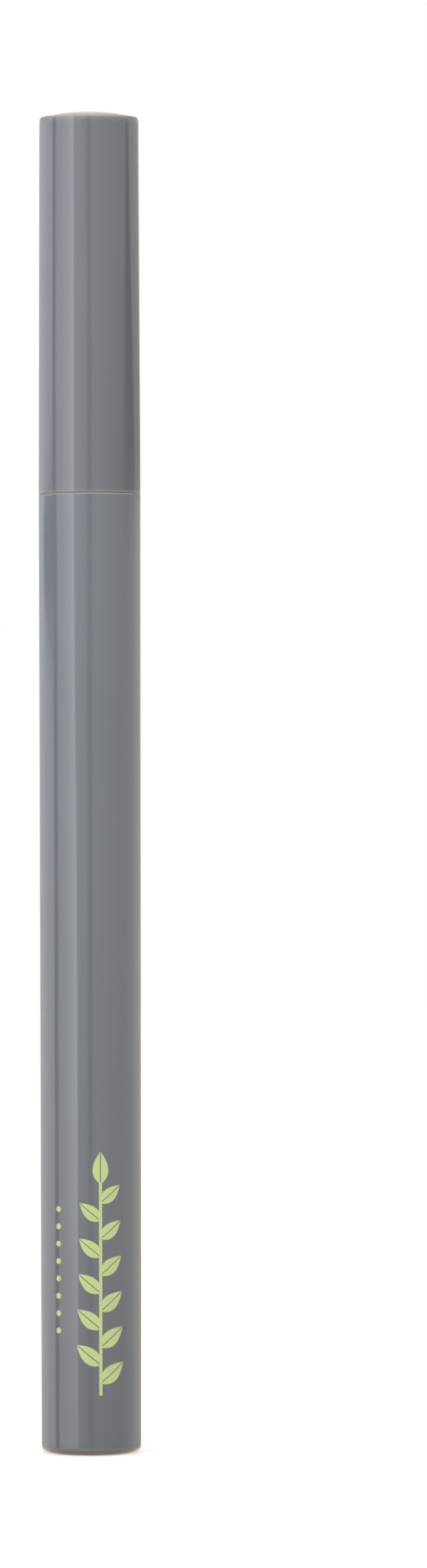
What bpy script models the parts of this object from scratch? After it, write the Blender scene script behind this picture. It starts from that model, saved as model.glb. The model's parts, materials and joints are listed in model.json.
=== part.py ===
"""Liquid eyebrow pen with a brush tip, standing on its closed end with its cap on.

The pen's axis is +Z and the origin is the middle of the foot. Lengths are in metres.
"""

import math

import bmesh
import bpy
from mathutils import Matrix, Vector

MM = 0.001

# Shared choices
SIDES = 48
INNER_SIDES = 24
ARC_STEPS = 4
OVERRUN = 0.5 * MM
MERGE_DISTANCE = 0.001 * MM

# Barrel: closed at the foot, with a slight draft, and ribs that carry the reservoir
BARREL_LENGTH = 101.5 * MM
BARREL_MOUTH_DIAMETER = 10.80 * MM
BARREL_MOUTH_DRAFT = 0.17 * MM
BARREL_MOUTH_DRAFT_LENGTH = 22.5 * MM
BARREL_MIDDLE_DRAFT = 0.10 * MM
BARREL_FOOT_DRAFT = 0.10 * MM
BARREL_FOOT_DRAFT_LENGTH = 20.0 * MM
BARREL_WALL = 0.90 * MM
BARREL_FLOOR = 1.20 * MM
BARREL_FOOT_ROUND = 0.80 * MM
BARREL_MOUTH_CHAMFER = 0.10 * MM
RIB_COUNT = 6
RIB_THICKNESS = 0.60 * MM
RIB_HEIGHT = 0.165 * MM
RIB_EMBED = 0.30 * MM
RIB_SEAT_HEIGHT = 4.50 * MM
RIB_SEAT_INNER_RADIUS = 1.40 * MM
RIB_TOP_BELOW_SPIGOT = 3.00 * MM

# Front section: spigot in the barrel, collar, neck with snap ring, cone and sealing land
COLLAR_SEAT_GAP = 0.05 * MM
COLLAR_HEIGHT = 1.30 * MM
COLLAR_ROUND = 0.25 * MM
NECK_FLARE = 0.08 * MM
NECK_FLARE_HEIGHT = 0.35 * MM
SNAP_RING_HEIGHT = 0.055 * MM
SNAP_RING_ABOVE_COLLAR = 2.15 * MM
SNAP_RING_WIDTH = 1.10 * MM
NECK_STEP = 0.135 * MM
NECK_HEIGHT = 6.20 * MM
CONE_FOOT_STEP = 0.06 * MM
CONE_FOOT_RISE = 0.80 * MM
CONE_HEIGHT = 10.95 * MM
LAND_FOOT_DIAMETER = 5.42 * MM
LAND_TOP_DIAMETER = 4.95 * MM
LAND_HEIGHT = 2.15 * MM
LAND_ROUND = 0.15 * MM
SPIGOT_LENGTH = 9.00 * MM
SPIGOT_CLEARANCE = 0.03 * MM
SPIGOT_CHAMFER = 0.40 * MM
SPIGOT_WALL = 1.10 * MM
SPIGOT_BEAD_HEIGHT = 0.15 * MM
SPIGOT_BEAD_WIDTH = 0.80 * MM
SPIGOT_BEAD_BELOW_MOUTH = 4.00 * MM
SPIGOT_GROOVE_CLEARANCE = 0.06 * MM
CHAMBER_TOP_ABOVE_COLLAR = 3.00 * MM
CHAMBER_TAPER = 2.60 * MM

# Tip holder: fluted ring that stands out of the front section, with its flange behind
HOLDER_FOOT_DIAMETER = 4.04 * MM
HOLDER_TOP_DIAMETER = 3.57 * MM
HOLDER_HEIGHT = 2.30 * MM
HOLDER_ROUND = 0.18 * MM
HOLDER_CLEARANCE = 0.03 * MM
HOLDER_FLANGE_DIAMETER = 4.44 * MM
HOLDER_FLANGE_HEIGHT = 1.20 * MM
HOLDER_FLANGE_BELOW_LAND_TOP = 5.00 * MM
HOLDER_FLANGE_GAP = 0.05 * MM
HOLDER_SHANK_DIAMETER = 3.90 * MM
HOLDER_SHANK_LENGTH = 4.20 * MM
HOLDER_CHAMFER = 0.15 * MM
FLUTE_COUNT = 4
FLUTE_WIDTH = 1.02 * MM
FLUTE_DEPTH = 0.24 * MM
FLUTE_TURN = math.radians(15)
FLUTE_FLOOR_ABOVE_LAND = 0.12 * MM
FLUTE_TOP_BELOW_HOLDER = 0.30 * MM

# Brush: tapered bristles fused in one root
NIB_DIAMETER = 2.46 * MM
NIB_LENGTH = 8.80 * MM
NIB_SUNK = 0.30 * MM
NIB_CLEARANCE = 0.03 * MM
NIB_RINGS = 8
NIB_CORNERS = 6
NIB_BULGE_SHARE = 0.40
NIB_OUTER_REACH_SHARE = 0.52
NIB_STRAND_GAP = 0.022 * MM
NIB_SHANK_LENGTH = 3.60 * MM
NIB_FLANGE_DIAMETER = 2.90 * MM
NIB_FLANGE_HEIGHT = 0.80 * MM
NIB_FLANGE_GAP = 0.05 * MM
NIB_BORE_DEPTH = 3.00 * MM

# Feed core: porous rod with a thinner pin in the brush's root
FEED_DIAMETER = 2.00 * MM
FEED_PIN_DIAMETER = 1.20 * MM
FEED_CLEARANCE = 0.05 * MM
FEED_END_GAP = 0.30 * MM
FEED_POINT = 0.60 * MM
FEED_IN_RESERVOIR = 10.00 * MM

# Nib retainer: sleeve behind the brush's root, with a flange on the holder's end
RETAINER_CLEARANCE = 0.05 * MM
RETAINER_FLANGE_HEIGHT = 0.50 * MM
RETAINER_SEAT_GAP = 0.05 * MM
RETAINER_CHAMFER = 0.12 * MM

# Reservoir: fibre rod in a thin film sleeve, on the ribs' seats
RESERVOIR_TOP_GAP = 0.30 * MM
RESERVOIR_SEAT_GAP = 0.10 * MM
RESERVOIR_CHAMFER = 0.30 * MM
FILM_THICKNESS = 0.12 * MM
FILM_CLEARANCE = 0.03 * MM
RIB_CLEARANCE = 0.05 * MM

# Cap shell: drafted tube with a shallow dome, a thin lip over the collar, and a ridge
# that keeps the inner cap in
SEAM_GAP = 0.08 * MM
CAP_SPRING_ROOM = 4.33 * MM
CAP_DRAFT = 0.43 * MM
CAP_LIP_WALL = 0.22 * MM
CAP_MOUTH_CHAMFER = 0.06 * MM
CAP_EDGE_ROUND = 0.40 * MM
CAP_DOME_RISE = 0.30 * MM
CAP_TOP_WALL = 1.30 * MM
CAP_WALL = 1.19 * MM
CAP_LIP_CLEARANCE = 0.03 * MM
CAP_LIP_DEPTH = 1.45 * MM
CAP_NECK_CLEARANCE = 0.02 * MM
CAP_CATCH_RELIEF = 0.10 * MM
CAP_RIDGE_INNER_DIAMETER = 6.70 * MM
CAP_RIDGE_HEIGHT = 0.90 * MM
CAP_RIDGE_SLOPE = 0.60 * MM
CAP_RIDGE_GAP = 0.10 * MM
CAP_BOSS_HEIGHT = 1.00 * MM
CAP_BOSS_CHAMFER = 0.30 * MM

# Inner cap: cup that seals on the land and slides in the cap
INNER_CAP_TRAVEL = 1.20 * MM
INNER_CAP_SKIRT_DIAMETER = 6.30 * MM
INNER_CAP_BODY_DIAMETER = 5.20 * MM
INNER_CAP_WALL = 0.65 * MM
INNER_CAP_TOP_WALL = 0.70 * MM
INNER_CAP_TIP_ROOM = 0.80 * MM
INNER_CAP_SEAL_LENGTH = 1.60 * MM
INNER_CAP_SEAL_CLEARANCE = 0.05 * MM
INNER_CAP_SEAL_LEAD = 0.20 * MM
INNER_CAP_FLANGE_DIAMETER = 7.50 * MM
INNER_CAP_FLANGE_HEIGHT = 1.00 * MM
INNER_CAP_FLANGE_ABOVE_LAND = 4.00 * MM
INNER_CAP_ROUND = 0.60 * MM
INNER_CAP_SLOPE = 0.80 * MM

# Spring between the inner cap's flange and the cap's ceiling
SPRING_WIRE = 0.40 * MM
SPRING_CLEARANCE = 0.12 * MM
SPRING_CURLS = 7
SPRING_POINTS_PER_CURL = 10
SPRING_END_PITCH_SHARE = 0.55
SPRING_SEAT_GAP = 0.06 * MM

# Heights along the pen, each worked out from the pieces below it
collar_foot = BARREL_LENGTH + COLLAR_SEAT_GAP
collar_top = collar_foot + COLLAR_HEIGHT
snap_ring_height = collar_top + SNAP_RING_ABOVE_COLLAR
neck_top = collar_top + NECK_HEIGHT
cone_foot = neck_top + CONE_FOOT_RISE
land_foot = cone_foot + CONE_HEIGHT
land_top = land_foot + LAND_HEIGHT
spigot_foot = BARREL_LENGTH - SPIGOT_LENGTH
holder_top = land_top + HOLDER_HEIGHT
holder_step = land_top - HOLDER_FLANGE_BELOW_LAND_TOP
holder_flange_top = holder_step - HOLDER_FLANGE_GAP
holder_flange_foot = holder_flange_top - HOLDER_FLANGE_HEIGHT
holder_foot = holder_flange_foot - HOLDER_SHANK_LENGTH
nib_face = holder_top - NIB_SUNK
nib_flange_top = nib_face - NIB_SHANK_LENGTH
nib_foot = nib_flange_top - NIB_FLANGE_HEIGHT
nib_tip = nib_face + NIB_LENGTH
retainer_top = nib_foot - RETAINER_SEAT_GAP
retainer_seat = holder_foot - RETAINER_SEAT_GAP
reservoir_foot = BARREL_FLOOR + RIB_SEAT_HEIGHT + RESERVOIR_SEAT_GAP
reservoir_top = spigot_foot - RESERVOIR_TOP_GAP
feed_foot = reservoir_top - FEED_IN_RESERVOIR
inner_cap_foot = land_foot + INNER_CAP_SEAL_LEAD
inner_cap_flange_foot = land_top + INNER_CAP_FLANGE_ABOVE_LAND
inner_cap_flange_top = inner_cap_flange_foot + INNER_CAP_FLANGE_HEIGHT
inner_cap_ceiling = nib_tip + INNER_CAP_TIP_ROOM
inner_cap_top = inner_cap_ceiling + INNER_CAP_TOP_WALL
cap_foot = BARREL_LENGTH + SEAM_GAP
cap_boss_foot = inner_cap_top + CAP_SPRING_ROOM
cap_ceiling = cap_boss_foot + CAP_BOSS_HEIGHT
cap_top = cap_ceiling + CAP_TOP_WALL
cap_ridge_top = inner_cap_flange_foot - INNER_CAP_TRAVEL - CAP_RIDGE_GAP
cap_ridge_foot = cap_ridge_top - CAP_RIDGE_HEIGHT

# Radii that more than one piece follows
holder_hole_radius = HOLDER_FOOT_DIAMETER / 2 + HOLDER_CLEARANCE
holder_chamber_radius = HOLDER_FLANGE_DIAMETER / 2 + HOLDER_CLEARANCE
nib_hole_radius = NIB_DIAMETER / 2 + NIB_CLEARANCE
nib_chamber_radius = NIB_FLANGE_DIAMETER / 2 + NIB_CLEARANCE
feed_bore_radius = FEED_DIAMETER / 2 + FEED_CLEARANCE
feed_pin_bore_radius = FEED_PIN_DIAMETER / 2 + FEED_CLEARANCE
inner_cap_radius = INNER_CAP_BODY_DIAMETER / 2
spring_flat_radius = inner_cap_radius + SPRING_CLEARANCE + SPRING_WIRE / 2
spring_radius = spring_flat_radius / math.cos(math.pi / SPRING_POINTS_PER_CURL)
neck_bore_radius = BARREL_MOUTH_DIAMETER / 2 - CAP_WALL
snap_ring_radius = neck_bore_radius - CAP_NECK_CLEARANCE
neck_radius = snap_ring_radius - SNAP_RING_HEIGHT
neck_top_radius = neck_radius - NECK_STEP
lip_bore_radius = BARREL_MOUTH_DIAMETER / 2 - CAP_LIP_WALL
collar_radius = lip_bore_radius - CAP_LIP_CLEARANCE


def clear_scene():
    for obj in list(bpy.data.objects):
        bpy.data.objects.remove(obj)


def new_collection(name):
    collection = bpy.data.collections.new(name)
    bpy.context.scene.collection.children.link(collection)
    return collection


def new_material(name, colour, roughness):
    material = bpy.data.materials.new(name)
    material.use_nodes = True
    shader = material.node_tree.nodes["Principled BSDF"]
    shader.inputs["Base Color"].default_value = (*colour, 1)
    shader.inputs["Roughness"].default_value = roughness
    shader.inputs["Metallic"].default_value = 0
    material.diffuse_color = (*colour, 1)
    return material


def between(low, high, share):
    return low + (high - low) * share


def arc(centre, radius, start, end):
    """Points (radius, height) on an arc in the profile's plane, angles in degrees."""
    points = []
    for step in range(ARC_STEPS + 1):
        angle = math.radians(between(start, end, step / ARC_STEPS))
        across = centre[0] + radius * math.cos(angle)
        along = centre[1] + radius * math.sin(angle)
        points.append((across, along))
    return points


def barrel_stations():
    """Heights and outer radii between which the barrel's draft is straight."""
    upper_diameter = BARREL_MOUTH_DIAMETER - BARREL_MOUTH_DRAFT
    lower_diameter = upper_diameter - BARREL_MIDDLE_DRAFT
    foot_diameter = lower_diameter - BARREL_FOOT_DRAFT
    return [
        (0, foot_diameter / 2),
        (BARREL_FOOT_DRAFT_LENGTH, lower_diameter / 2),
        (BARREL_LENGTH - BARREL_MOUTH_DRAFT_LENGTH, upper_diameter / 2),
        (BARREL_LENGTH, BARREL_MOUTH_DIAMETER / 2),
    ]


def barrel_radius(height):
    stations = barrel_stations()
    for (low, low_radius), (high, high_radius) in zip(stations, stations[1:]):
        if height <= high:
            break
    return between(low_radius, high_radius, (height - low) / (high - low))


def bore_radius(height):
    return barrel_radius(height) - BARREL_WALL


rib_crest_radius = bore_radius(0) - RIB_HEIGHT
film_outer_radius = rib_crest_radius - RIB_CLEARANCE
film_inner_radius = film_outer_radius - FILM_THICKNESS
reservoir_radius = film_inner_radius - FILM_CLEARANCE


def along_bore(low, high, depth):
    """Profile points from one height up to another, at a depth into the barrel's wall."""
    heights = [height for height, _ in barrel_stations() if low < height < high]
    return [(bore_radius(height) + depth, height) for height in [low, *heights, high]]


def cap_radius(height):
    share = (height - cap_foot) / (cap_top - cap_foot)
    return BARREL_MOUTH_DIAMETER / 2 - CAP_DRAFT / 2 * share


def place(name, mesh, material, collection):
    """A finished mesh as a named object, shaded smooth with its edges kept sharp."""
    mesh.name = name
    mesh.materials.clear()
    mesh.materials.append(material)
    mesh.shade_smooth()
    mesh.set_sharp_from_angle(angle=math.radians(30))
    obj = bpy.data.objects.new(name, mesh)
    collection.objects.link(obj)
    return obj


def turned(name, profile, closed, sides, material, collection):
    """A turned shape. The profile runs down the outer side, then up the bore if closed."""
    mesh = bpy.data.meshes.new(name + "_profile")
    edges = [(i, i + 1) for i in range(len(profile) - 1)]
    if closed:
        edges.append((len(profile) - 1, 0))
    mesh.from_pydata([(across, 0, along) for across, along in profile], edges, [])
    outline = bpy.data.objects.new(name + "_outline", mesh)
    collection.objects.link(outline)
    screw = outline.modifiers.new("Screw", "SCREW")
    screw.steps = sides
    screw.render_steps = sides
    screw.use_merge_vertices = True
    screw.merge_threshold = MERGE_DISTANCE
    graph = bpy.context.evaluated_depsgraph_get()
    solid = bpy.data.meshes.new_from_object(outline.evaluated_get(graph))
    bpy.data.objects.remove(outline)
    return place(name, solid, material, collection)


def blades(name, outline, thickness, count, turn, collection):
    """Flat plates of one outline, set evenly round the pen's axis. A helper for cuts and ribs."""
    bm = bmesh.new()
    for index in range(count):
        corners = [bm.verts.new((across, -thickness / 2, along)) for across, along in outline]
        face = bm.faces.new(corners)
        grown = bmesh.ops.extrude_face_region(bm, geom=[face])["geom"]
        moved = [item for item in grown if isinstance(item, bmesh.types.BMVert)]
        bmesh.ops.translate(bm, verts=moved, vec=(0, thickness, 0))
        angle = turn + 2 * math.pi * index / count
        spun = corners + moved
        bmesh.ops.rotate(bm, verts=spun, cent=(0, 0, 0), matrix=Matrix.Rotation(angle, 3, "Z"))
    bmesh.ops.recalc_face_normals(bm, faces=bm.faces)
    mesh = bpy.data.meshes.new(name)
    bm.to_mesh(mesh)
    bm.free()
    helper = bpy.data.objects.new(name, mesh)
    helper.hide_render = True
    helper.display_type = "WIRE"
    collection.objects.link(helper)
    return helper


def add_boolean(obj, operation, other):
    boolean = obj.modifiers.new(other.name, "BOOLEAN")
    boolean.operation = operation
    boolean.solver = "EXACT"
    boolean.object = other


def make_barrel(material, parts, cutters):
    bead_height = BARREL_LENGTH - SPIGOT_BEAD_BELOW_MOUTH
    groove_half = SPIGOT_BEAD_WIDTH / 2 + SPIGOT_GROOVE_CLEARANCE
    groove_depth = SPIGOT_BEAD_HEIGHT + SPIGOT_GROOVE_CLEARANCE
    mouth = BARREL_MOUTH_DIAMETER / 2
    foot = barrel_radius(BARREL_FOOT_ROUND)
    outer_draft = along_bore(BARREL_FOOT_ROUND, BARREL_LENGTH - BARREL_MOUTH_CHAMFER, BARREL_WALL)
    profile = [(mouth - BARREL_MOUTH_CHAMFER, BARREL_LENGTH)]
    profile += outer_draft[:0:-1]
    profile += arc((foot - BARREL_FOOT_ROUND, BARREL_FOOT_ROUND), BARREL_FOOT_ROUND, 0, -90)
    profile += [(0, 0), (0, BARREL_FLOOR)]
    profile += along_bore(BARREL_FLOOR, bead_height - groove_half, 0)
    for offset in (groove_depth - groove_half, groove_half - groove_depth):
        height = bead_height + offset
        profile.append((bore_radius(height) + groove_depth, height))
    profile += along_bore(bead_height + groove_half, BARREL_LENGTH, 0)
    barrel = turned("barrel", profile, True, SIDES, material, parts)

    rib_top = spigot_foot - RIB_TOP_BELOW_SPIGOT
    seat = BARREL_FLOOR + RIB_SEAT_HEIGHT
    rib_foot = BARREL_FLOOR - RIB_EMBED
    outline = [(RIB_SEAT_INNER_RADIUS, rib_foot)]
    outline += along_bore(rib_foot, rib_top, RIB_EMBED)
    outline += [
        (rib_crest_radius, rib_top),
        (rib_crest_radius, seat),
        (RIB_SEAT_INNER_RADIUS, seat),
    ]
    ribs = blades("barrel_ribs", outline, RIB_THICKNESS, RIB_COUNT, 0, cutters)
    add_boolean(barrel, "UNION", ribs)
    return barrel


def make_front_section(material, parts):
    collar = collar_radius
    ring_half = SNAP_RING_WIDTH / 2
    land = LAND_TOP_DIAMETER / 2
    bead_height = BARREL_LENGTH - SPIGOT_BEAD_BELOW_MOUTH
    bead_half = SPIGOT_BEAD_WIDTH / 2

    def spigot(height):
        return bore_radius(height) - SPIGOT_CLEARANCE

    profile = arc((land - LAND_ROUND, land_top - LAND_ROUND), LAND_ROUND, 90, 0)
    profile += [
        (LAND_FOOT_DIAMETER / 2, land_foot),
        (neck_top_radius - CONE_FOOT_STEP, cone_foot),
        (neck_top_radius, neck_top),
        (neck_top_radius, snap_ring_height + ring_half),
        (snap_ring_radius, snap_ring_height),
        (neck_radius, snap_ring_height - ring_half),
        (neck_radius, collar_top + NECK_FLARE_HEIGHT),
        (neck_radius + NECK_FLARE, collar_top),
    ]
    profile += arc((collar - COLLAR_ROUND, collar_top - COLLAR_ROUND), COLLAR_ROUND, 90, 0)
    profile += [
        (collar, collar_foot),
        (spigot(BARREL_LENGTH), collar_foot),
        (spigot(bead_height + bead_half), bead_height + bead_half),
        (
            spigot(bead_height) + SPIGOT_BEAD_HEIGHT,
            bead_height + bead_half - SPIGOT_BEAD_HEIGHT,
        ),
        (
            spigot(bead_height) + SPIGOT_BEAD_HEIGHT,
            bead_height - bead_half + SPIGOT_BEAD_HEIGHT,
        ),
        (spigot(bead_height - bead_half), bead_height - bead_half),
        (spigot(spigot_foot), spigot_foot + SPIGOT_CHAMFER),
        (spigot(spigot_foot) - SPIGOT_CHAMFER, spigot_foot),
        (spigot(spigot_foot) - SPIGOT_WALL, spigot_foot),
        (spigot(spigot_foot) - SPIGOT_WALL, collar_top + CHAMBER_TOP_ABOVE_COLLAR),
        (holder_chamber_radius, collar_top + CHAMBER_TOP_ABOVE_COLLAR + CHAMBER_TAPER),
        (holder_chamber_radius, holder_step),
        (holder_hole_radius, holder_step),
        (holder_hole_radius, land_top),
    ]
    return turned("front_section", profile, True, SIDES, material, parts)


def make_tip_holder(material, parts, cutters):
    foot = HOLDER_FOOT_DIAMETER / 2
    top = HOLDER_TOP_DIAMETER / 2
    flange = HOLDER_FLANGE_DIAMETER / 2
    shank = HOLDER_SHANK_DIAMETER / 2
    profile = arc((top - HOLDER_ROUND, holder_top - HOLDER_ROUND), HOLDER_ROUND, 90, 0)
    profile += [
        (foot, land_top),
        (foot, holder_flange_top),
        (flange - HOLDER_CHAMFER, holder_flange_top),
        (flange, holder_flange_top - HOLDER_CHAMFER),
        (flange, holder_flange_foot),
        (shank, holder_flange_foot),
        (shank, holder_foot + HOLDER_CHAMFER),
        (shank - HOLDER_CHAMFER, holder_foot),
        (nib_chamber_radius, holder_foot),
        (nib_chamber_radius, nib_flange_top + NIB_FLANGE_GAP),
        (nib_hole_radius, nib_flange_top + NIB_FLANGE_GAP),
        (nib_hole_radius, holder_top),
    ]
    holder = turned("tip_holder", profile, True, SIDES, material, parts)
    flute_foot = land_top + FLUTE_FLOOR_ABOVE_LAND
    flute_top = holder_top - FLUTE_TOP_BELOW_HOLDER
    outline = [
        (foot - FLUTE_DEPTH, flute_foot),
        (foot + OVERRUN, flute_foot),
        (foot + OVERRUN, flute_top),
        (top - FLUTE_DEPTH, flute_top),
    ]
    flutes = blades("holder_flutes", outline, FLUTE_WIDTH, FLUTE_COUNT, FLUTE_TURN, cutters)
    add_boolean(holder, "DIFFERENCE", flutes)
    return holder


def make_nib_retainer(material, parts):
    outer = nib_chamber_radius - RETAINER_CLEARANCE
    flange = HOLDER_SHANK_DIAMETER / 2
    profile = [
        (outer - RETAINER_CHAMFER, retainer_top),
        (outer, retainer_top - RETAINER_CHAMFER),
        (outer, retainer_seat),
        (flange, retainer_seat),
        (flange, retainer_seat - RETAINER_FLANGE_HEIGHT),
        (feed_bore_radius, retainer_seat - RETAINER_FLANGE_HEIGHT),
        (feed_bore_radius, retainer_top),
    ]
    return turned("nib_retainer", profile, True, INNER_SIDES, material, parts)


def nib_outline(share):
    """The brush's radius at a share of its length, as a share of its radius at the root."""
    return (1 - share) * (1 + NIB_BULGE_SHARE * share)


def to_ring(point, radius):
    """Moves a point of a flat hexagon grid to its place on evenly spaced round rings."""
    sector = 2 * math.pi / NIB_CORNERS
    middle = (math.floor(math.atan2(point.y, point.x) / sector) + 0.5) * sector
    within = math.atan2(point.y, point.x) - middle
    ring = radius * point.length * math.cos(within) / math.cos(sector / 2)
    angle = middle + sector / 2 * math.tan(within) / math.tan(sector / 2)
    return Vector((ring * math.cos(angle), ring * math.sin(angle), 0))


def make_brush_nib(material, parts):
    """A disc of equal triangles, each of them the root of one bristle, on a turned root."""
    root = NIB_DIAMETER / 2
    bm = bmesh.new()
    bmesh.ops.create_circle(bm, cap_ends=True, cap_tris=True, segments=NIB_CORNERS, radius=1)
    bmesh.ops.rotate(bm, verts=bm.verts, matrix=Matrix.Rotation(math.pi / NIB_CORNERS, 3, "Z"))
    bmesh.ops.subdivide_edges(bm, edges=bm.edges, cuts=NIB_RINGS - 1, use_grid_fill=True)
    for vert in bm.verts:
        vert.co = to_ring(vert.co, root)
    bmesh.ops.recalc_face_normals(bm, faces=bm.faces)
    bmesh.ops.translate(bm, verts=bm.verts, vec=(0, 0, nib_face))
    rim = [edge for edge in bm.edges if edge.is_boundary]
    roots = list(bm.faces)

    # The root runs down from the rim, then up its bore
    steps = [
        (root, nib_flange_top),
        (NIB_FLANGE_DIAMETER / 2, nib_flange_top),
        (NIB_FLANGE_DIAMETER / 2, nib_foot),
        (feed_pin_bore_radius, nib_foot),
        (feed_pin_bore_radius, nib_foot + NIB_BORE_DEPTH),
    ]
    edges = rim
    for radius, height in steps:
        grown = bmesh.ops.extrude_edge_only(bm, edges=edges)["geom"]
        edges = [item for item in grown if isinstance(item, bmesh.types.BMEdge)]
        for vert in {vert for edge in edges for vert in edge.verts}:
            around = Vector((vert.co.x, vert.co.y)).normalized() * radius
            vert.co = (around.x, around.y, height)
    bmesh.ops.edgeloop_fill(bm, edges=edges)

    bmesh.ops.inset_individual(bm, faces=roots, thickness=NIB_STRAND_GAP)
    tips = bmesh.ops.poke(bm, faces=roots)["verts"]
    for vert in tips:
        away = Vector((vert.co.x, vert.co.y))
        base = away.length / root
        reach = 1 - (1 - NIB_OUTER_REACH_SHARE) * base * base
        moved = away.normalized() * root * nib_outline(reach) * base
        vert.co = (moved.x, moved.y, nib_face + NIB_LENGTH * reach)
    bmesh.ops.recalc_face_normals(bm, faces=bm.faces)
    mesh = bpy.data.meshes.new("brush_nib")
    bm.to_mesh(mesh)
    bm.free()
    return place("brush_nib", mesh, material, parts)


def make_feed_core(material, parts):
    pin_foot = nib_foot
    pin_top = nib_foot + NIB_BORE_DEPTH - FEED_END_GAP
    rod = FEED_DIAMETER / 2
    pin = FEED_PIN_DIAMETER / 2
    profile = [
        (0, pin_top),
        (pin - FEED_POINT / 2, pin_top),
        (pin, pin_top - FEED_POINT),
        (pin, pin_foot - FEED_END_GAP),
        (rod, pin_foot - FEED_END_GAP),
        (rod, feed_foot + FEED_POINT),
        (rod - FEED_POINT / 2, feed_foot),
        (0, feed_foot),
    ]
    return turned("feed_core", profile, False, INNER_SIDES, material, parts)


def make_reservoir_core(material, parts):
    radius = reservoir_radius
    bore_foot = feed_foot - FEED_END_GAP
    profile = [
        (radius - RESERVOIR_CHAMFER, reservoir_top),
        (radius, reservoir_top - RESERVOIR_CHAMFER),
        (radius, reservoir_foot + RESERVOIR_CHAMFER),
        (radius - RESERVOIR_CHAMFER, reservoir_foot),
        (0, reservoir_foot),
        (0, bore_foot),
        (feed_bore_radius, bore_foot),
        (feed_bore_radius, reservoir_top),
    ]
    return turned("reservoir_core", profile, True, INNER_SIDES, material, parts)


def make_reservoir_film(material, parts):
    profile = [
        (film_outer_radius, reservoir_top),
        (film_outer_radius, reservoir_foot),
        (film_inner_radius, reservoir_foot),
        (film_inner_radius, reservoir_top),
    ]
    return turned("reservoir_film", profile, True, INNER_SIDES, material, parts)


def make_cap_shell(material, parts):
    dome_foot = cap_top - CAP_DOME_RISE
    edge_centre = cap_radius(dome_foot) - CAP_EDGE_ROUND
    dome_radius = (edge_centre**2 + CAP_DOME_RISE**2) / (2 * CAP_DOME_RISE)
    dome_half = math.degrees(math.asin(edge_centre / dome_radius))
    mouth = BARREL_MOUTH_DIAMETER / 2
    ridge = CAP_RIDGE_INNER_DIAMETER / 2
    lip_top = cap_foot + CAP_LIP_DEPTH
    groove_foot = snap_ring_height - SNAP_RING_WIDTH / 2
    groove_top = snap_ring_height + SNAP_RING_WIDTH / 2
    chamber = INNER_CAP_FLANGE_DIAMETER / 2 + CAP_LIP_CLEARANCE
    boss = inner_cap_radius
    wide = neck_bore_radius + CAP_CATCH_RELIEF

    profile = arc((0, cap_top - dome_radius), dome_radius, 90, 90 - dome_half)
    profile += arc((edge_centre, dome_foot - CAP_EDGE_ROUND), CAP_EDGE_ROUND, 90, 0)[1:]
    profile += [
        (mouth, cap_foot + CAP_MOUTH_CHAMFER),
        (mouth - CAP_MOUTH_CHAMFER, cap_foot),
        (lip_bore_radius, cap_foot),
        (lip_bore_radius, lip_top),
        (wide, lip_top),
        (neck_bore_radius, lip_top + CAP_CATCH_RELIEF),
        (neck_bore_radius, groove_foot),
        (wide, groove_foot + CAP_CATCH_RELIEF),
        (wide, groove_top),
        (neck_bore_radius, groove_top + CAP_CATCH_RELIEF),
        (cap_radius(cap_ridge_foot) - CAP_WALL, cap_ridge_foot - CAP_RIDGE_SLOPE),
        (ridge, cap_ridge_foot),
        (ridge, cap_ridge_top),
        (chamber, cap_ridge_top),
        (chamber, cap_ceiling),
        (boss, cap_ceiling),
        (boss, cap_boss_foot + CAP_BOSS_CHAMFER),
        (boss - CAP_BOSS_CHAMFER, cap_boss_foot),
        (0, cap_boss_foot),
    ]
    return turned("cap_shell", profile, False, SIDES, material, parts)


def make_inner_cap(material, parts):
    outer = inner_cap_radius
    bore = inner_cap_radius - INNER_CAP_WALL
    skirt = INNER_CAP_SKIRT_DIAMETER / 2
    skirt_bore = skirt - INNER_CAP_WALL
    flange = INNER_CAP_FLANGE_DIAMETER / 2
    seal_end = inner_cap_foot + INNER_CAP_SEAL_LENGTH
    slope = (LAND_FOOT_DIAMETER - LAND_TOP_DIAMETER) / 2 / LAND_HEIGHT
    seal_foot = LAND_FOOT_DIAMETER / 2 - INNER_CAP_SEAL_LEAD * slope + INNER_CAP_SEAL_CLEARANCE
    seal_top = seal_foot - INNER_CAP_SEAL_LENGTH * slope
    round_centre = (outer - INNER_CAP_ROUND, inner_cap_top - INNER_CAP_ROUND)
    profile = [(0, inner_cap_top)]
    profile += arc(round_centre, INNER_CAP_ROUND, 90, 0)
    profile += [
        (outer, inner_cap_flange_top),
        (flange, inner_cap_flange_top),
        (flange, inner_cap_flange_foot),
        (skirt, inner_cap_flange_foot),
        (skirt, inner_cap_foot + INNER_CAP_SEAL_LEAD),
        (seal_foot + INNER_CAP_SEAL_LEAD, inner_cap_foot),
        (seal_foot, inner_cap_foot),
        (seal_top, seal_end),
        (skirt_bore, seal_end),
        (skirt_bore, inner_cap_flange_foot),
        (bore, inner_cap_flange_foot + INNER_CAP_SLOPE),
        (bore, inner_cap_ceiling),
        (0, inner_cap_ceiling),
    ]
    return turned("inner_cap", profile, False, SIDES, material, parts)


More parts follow.
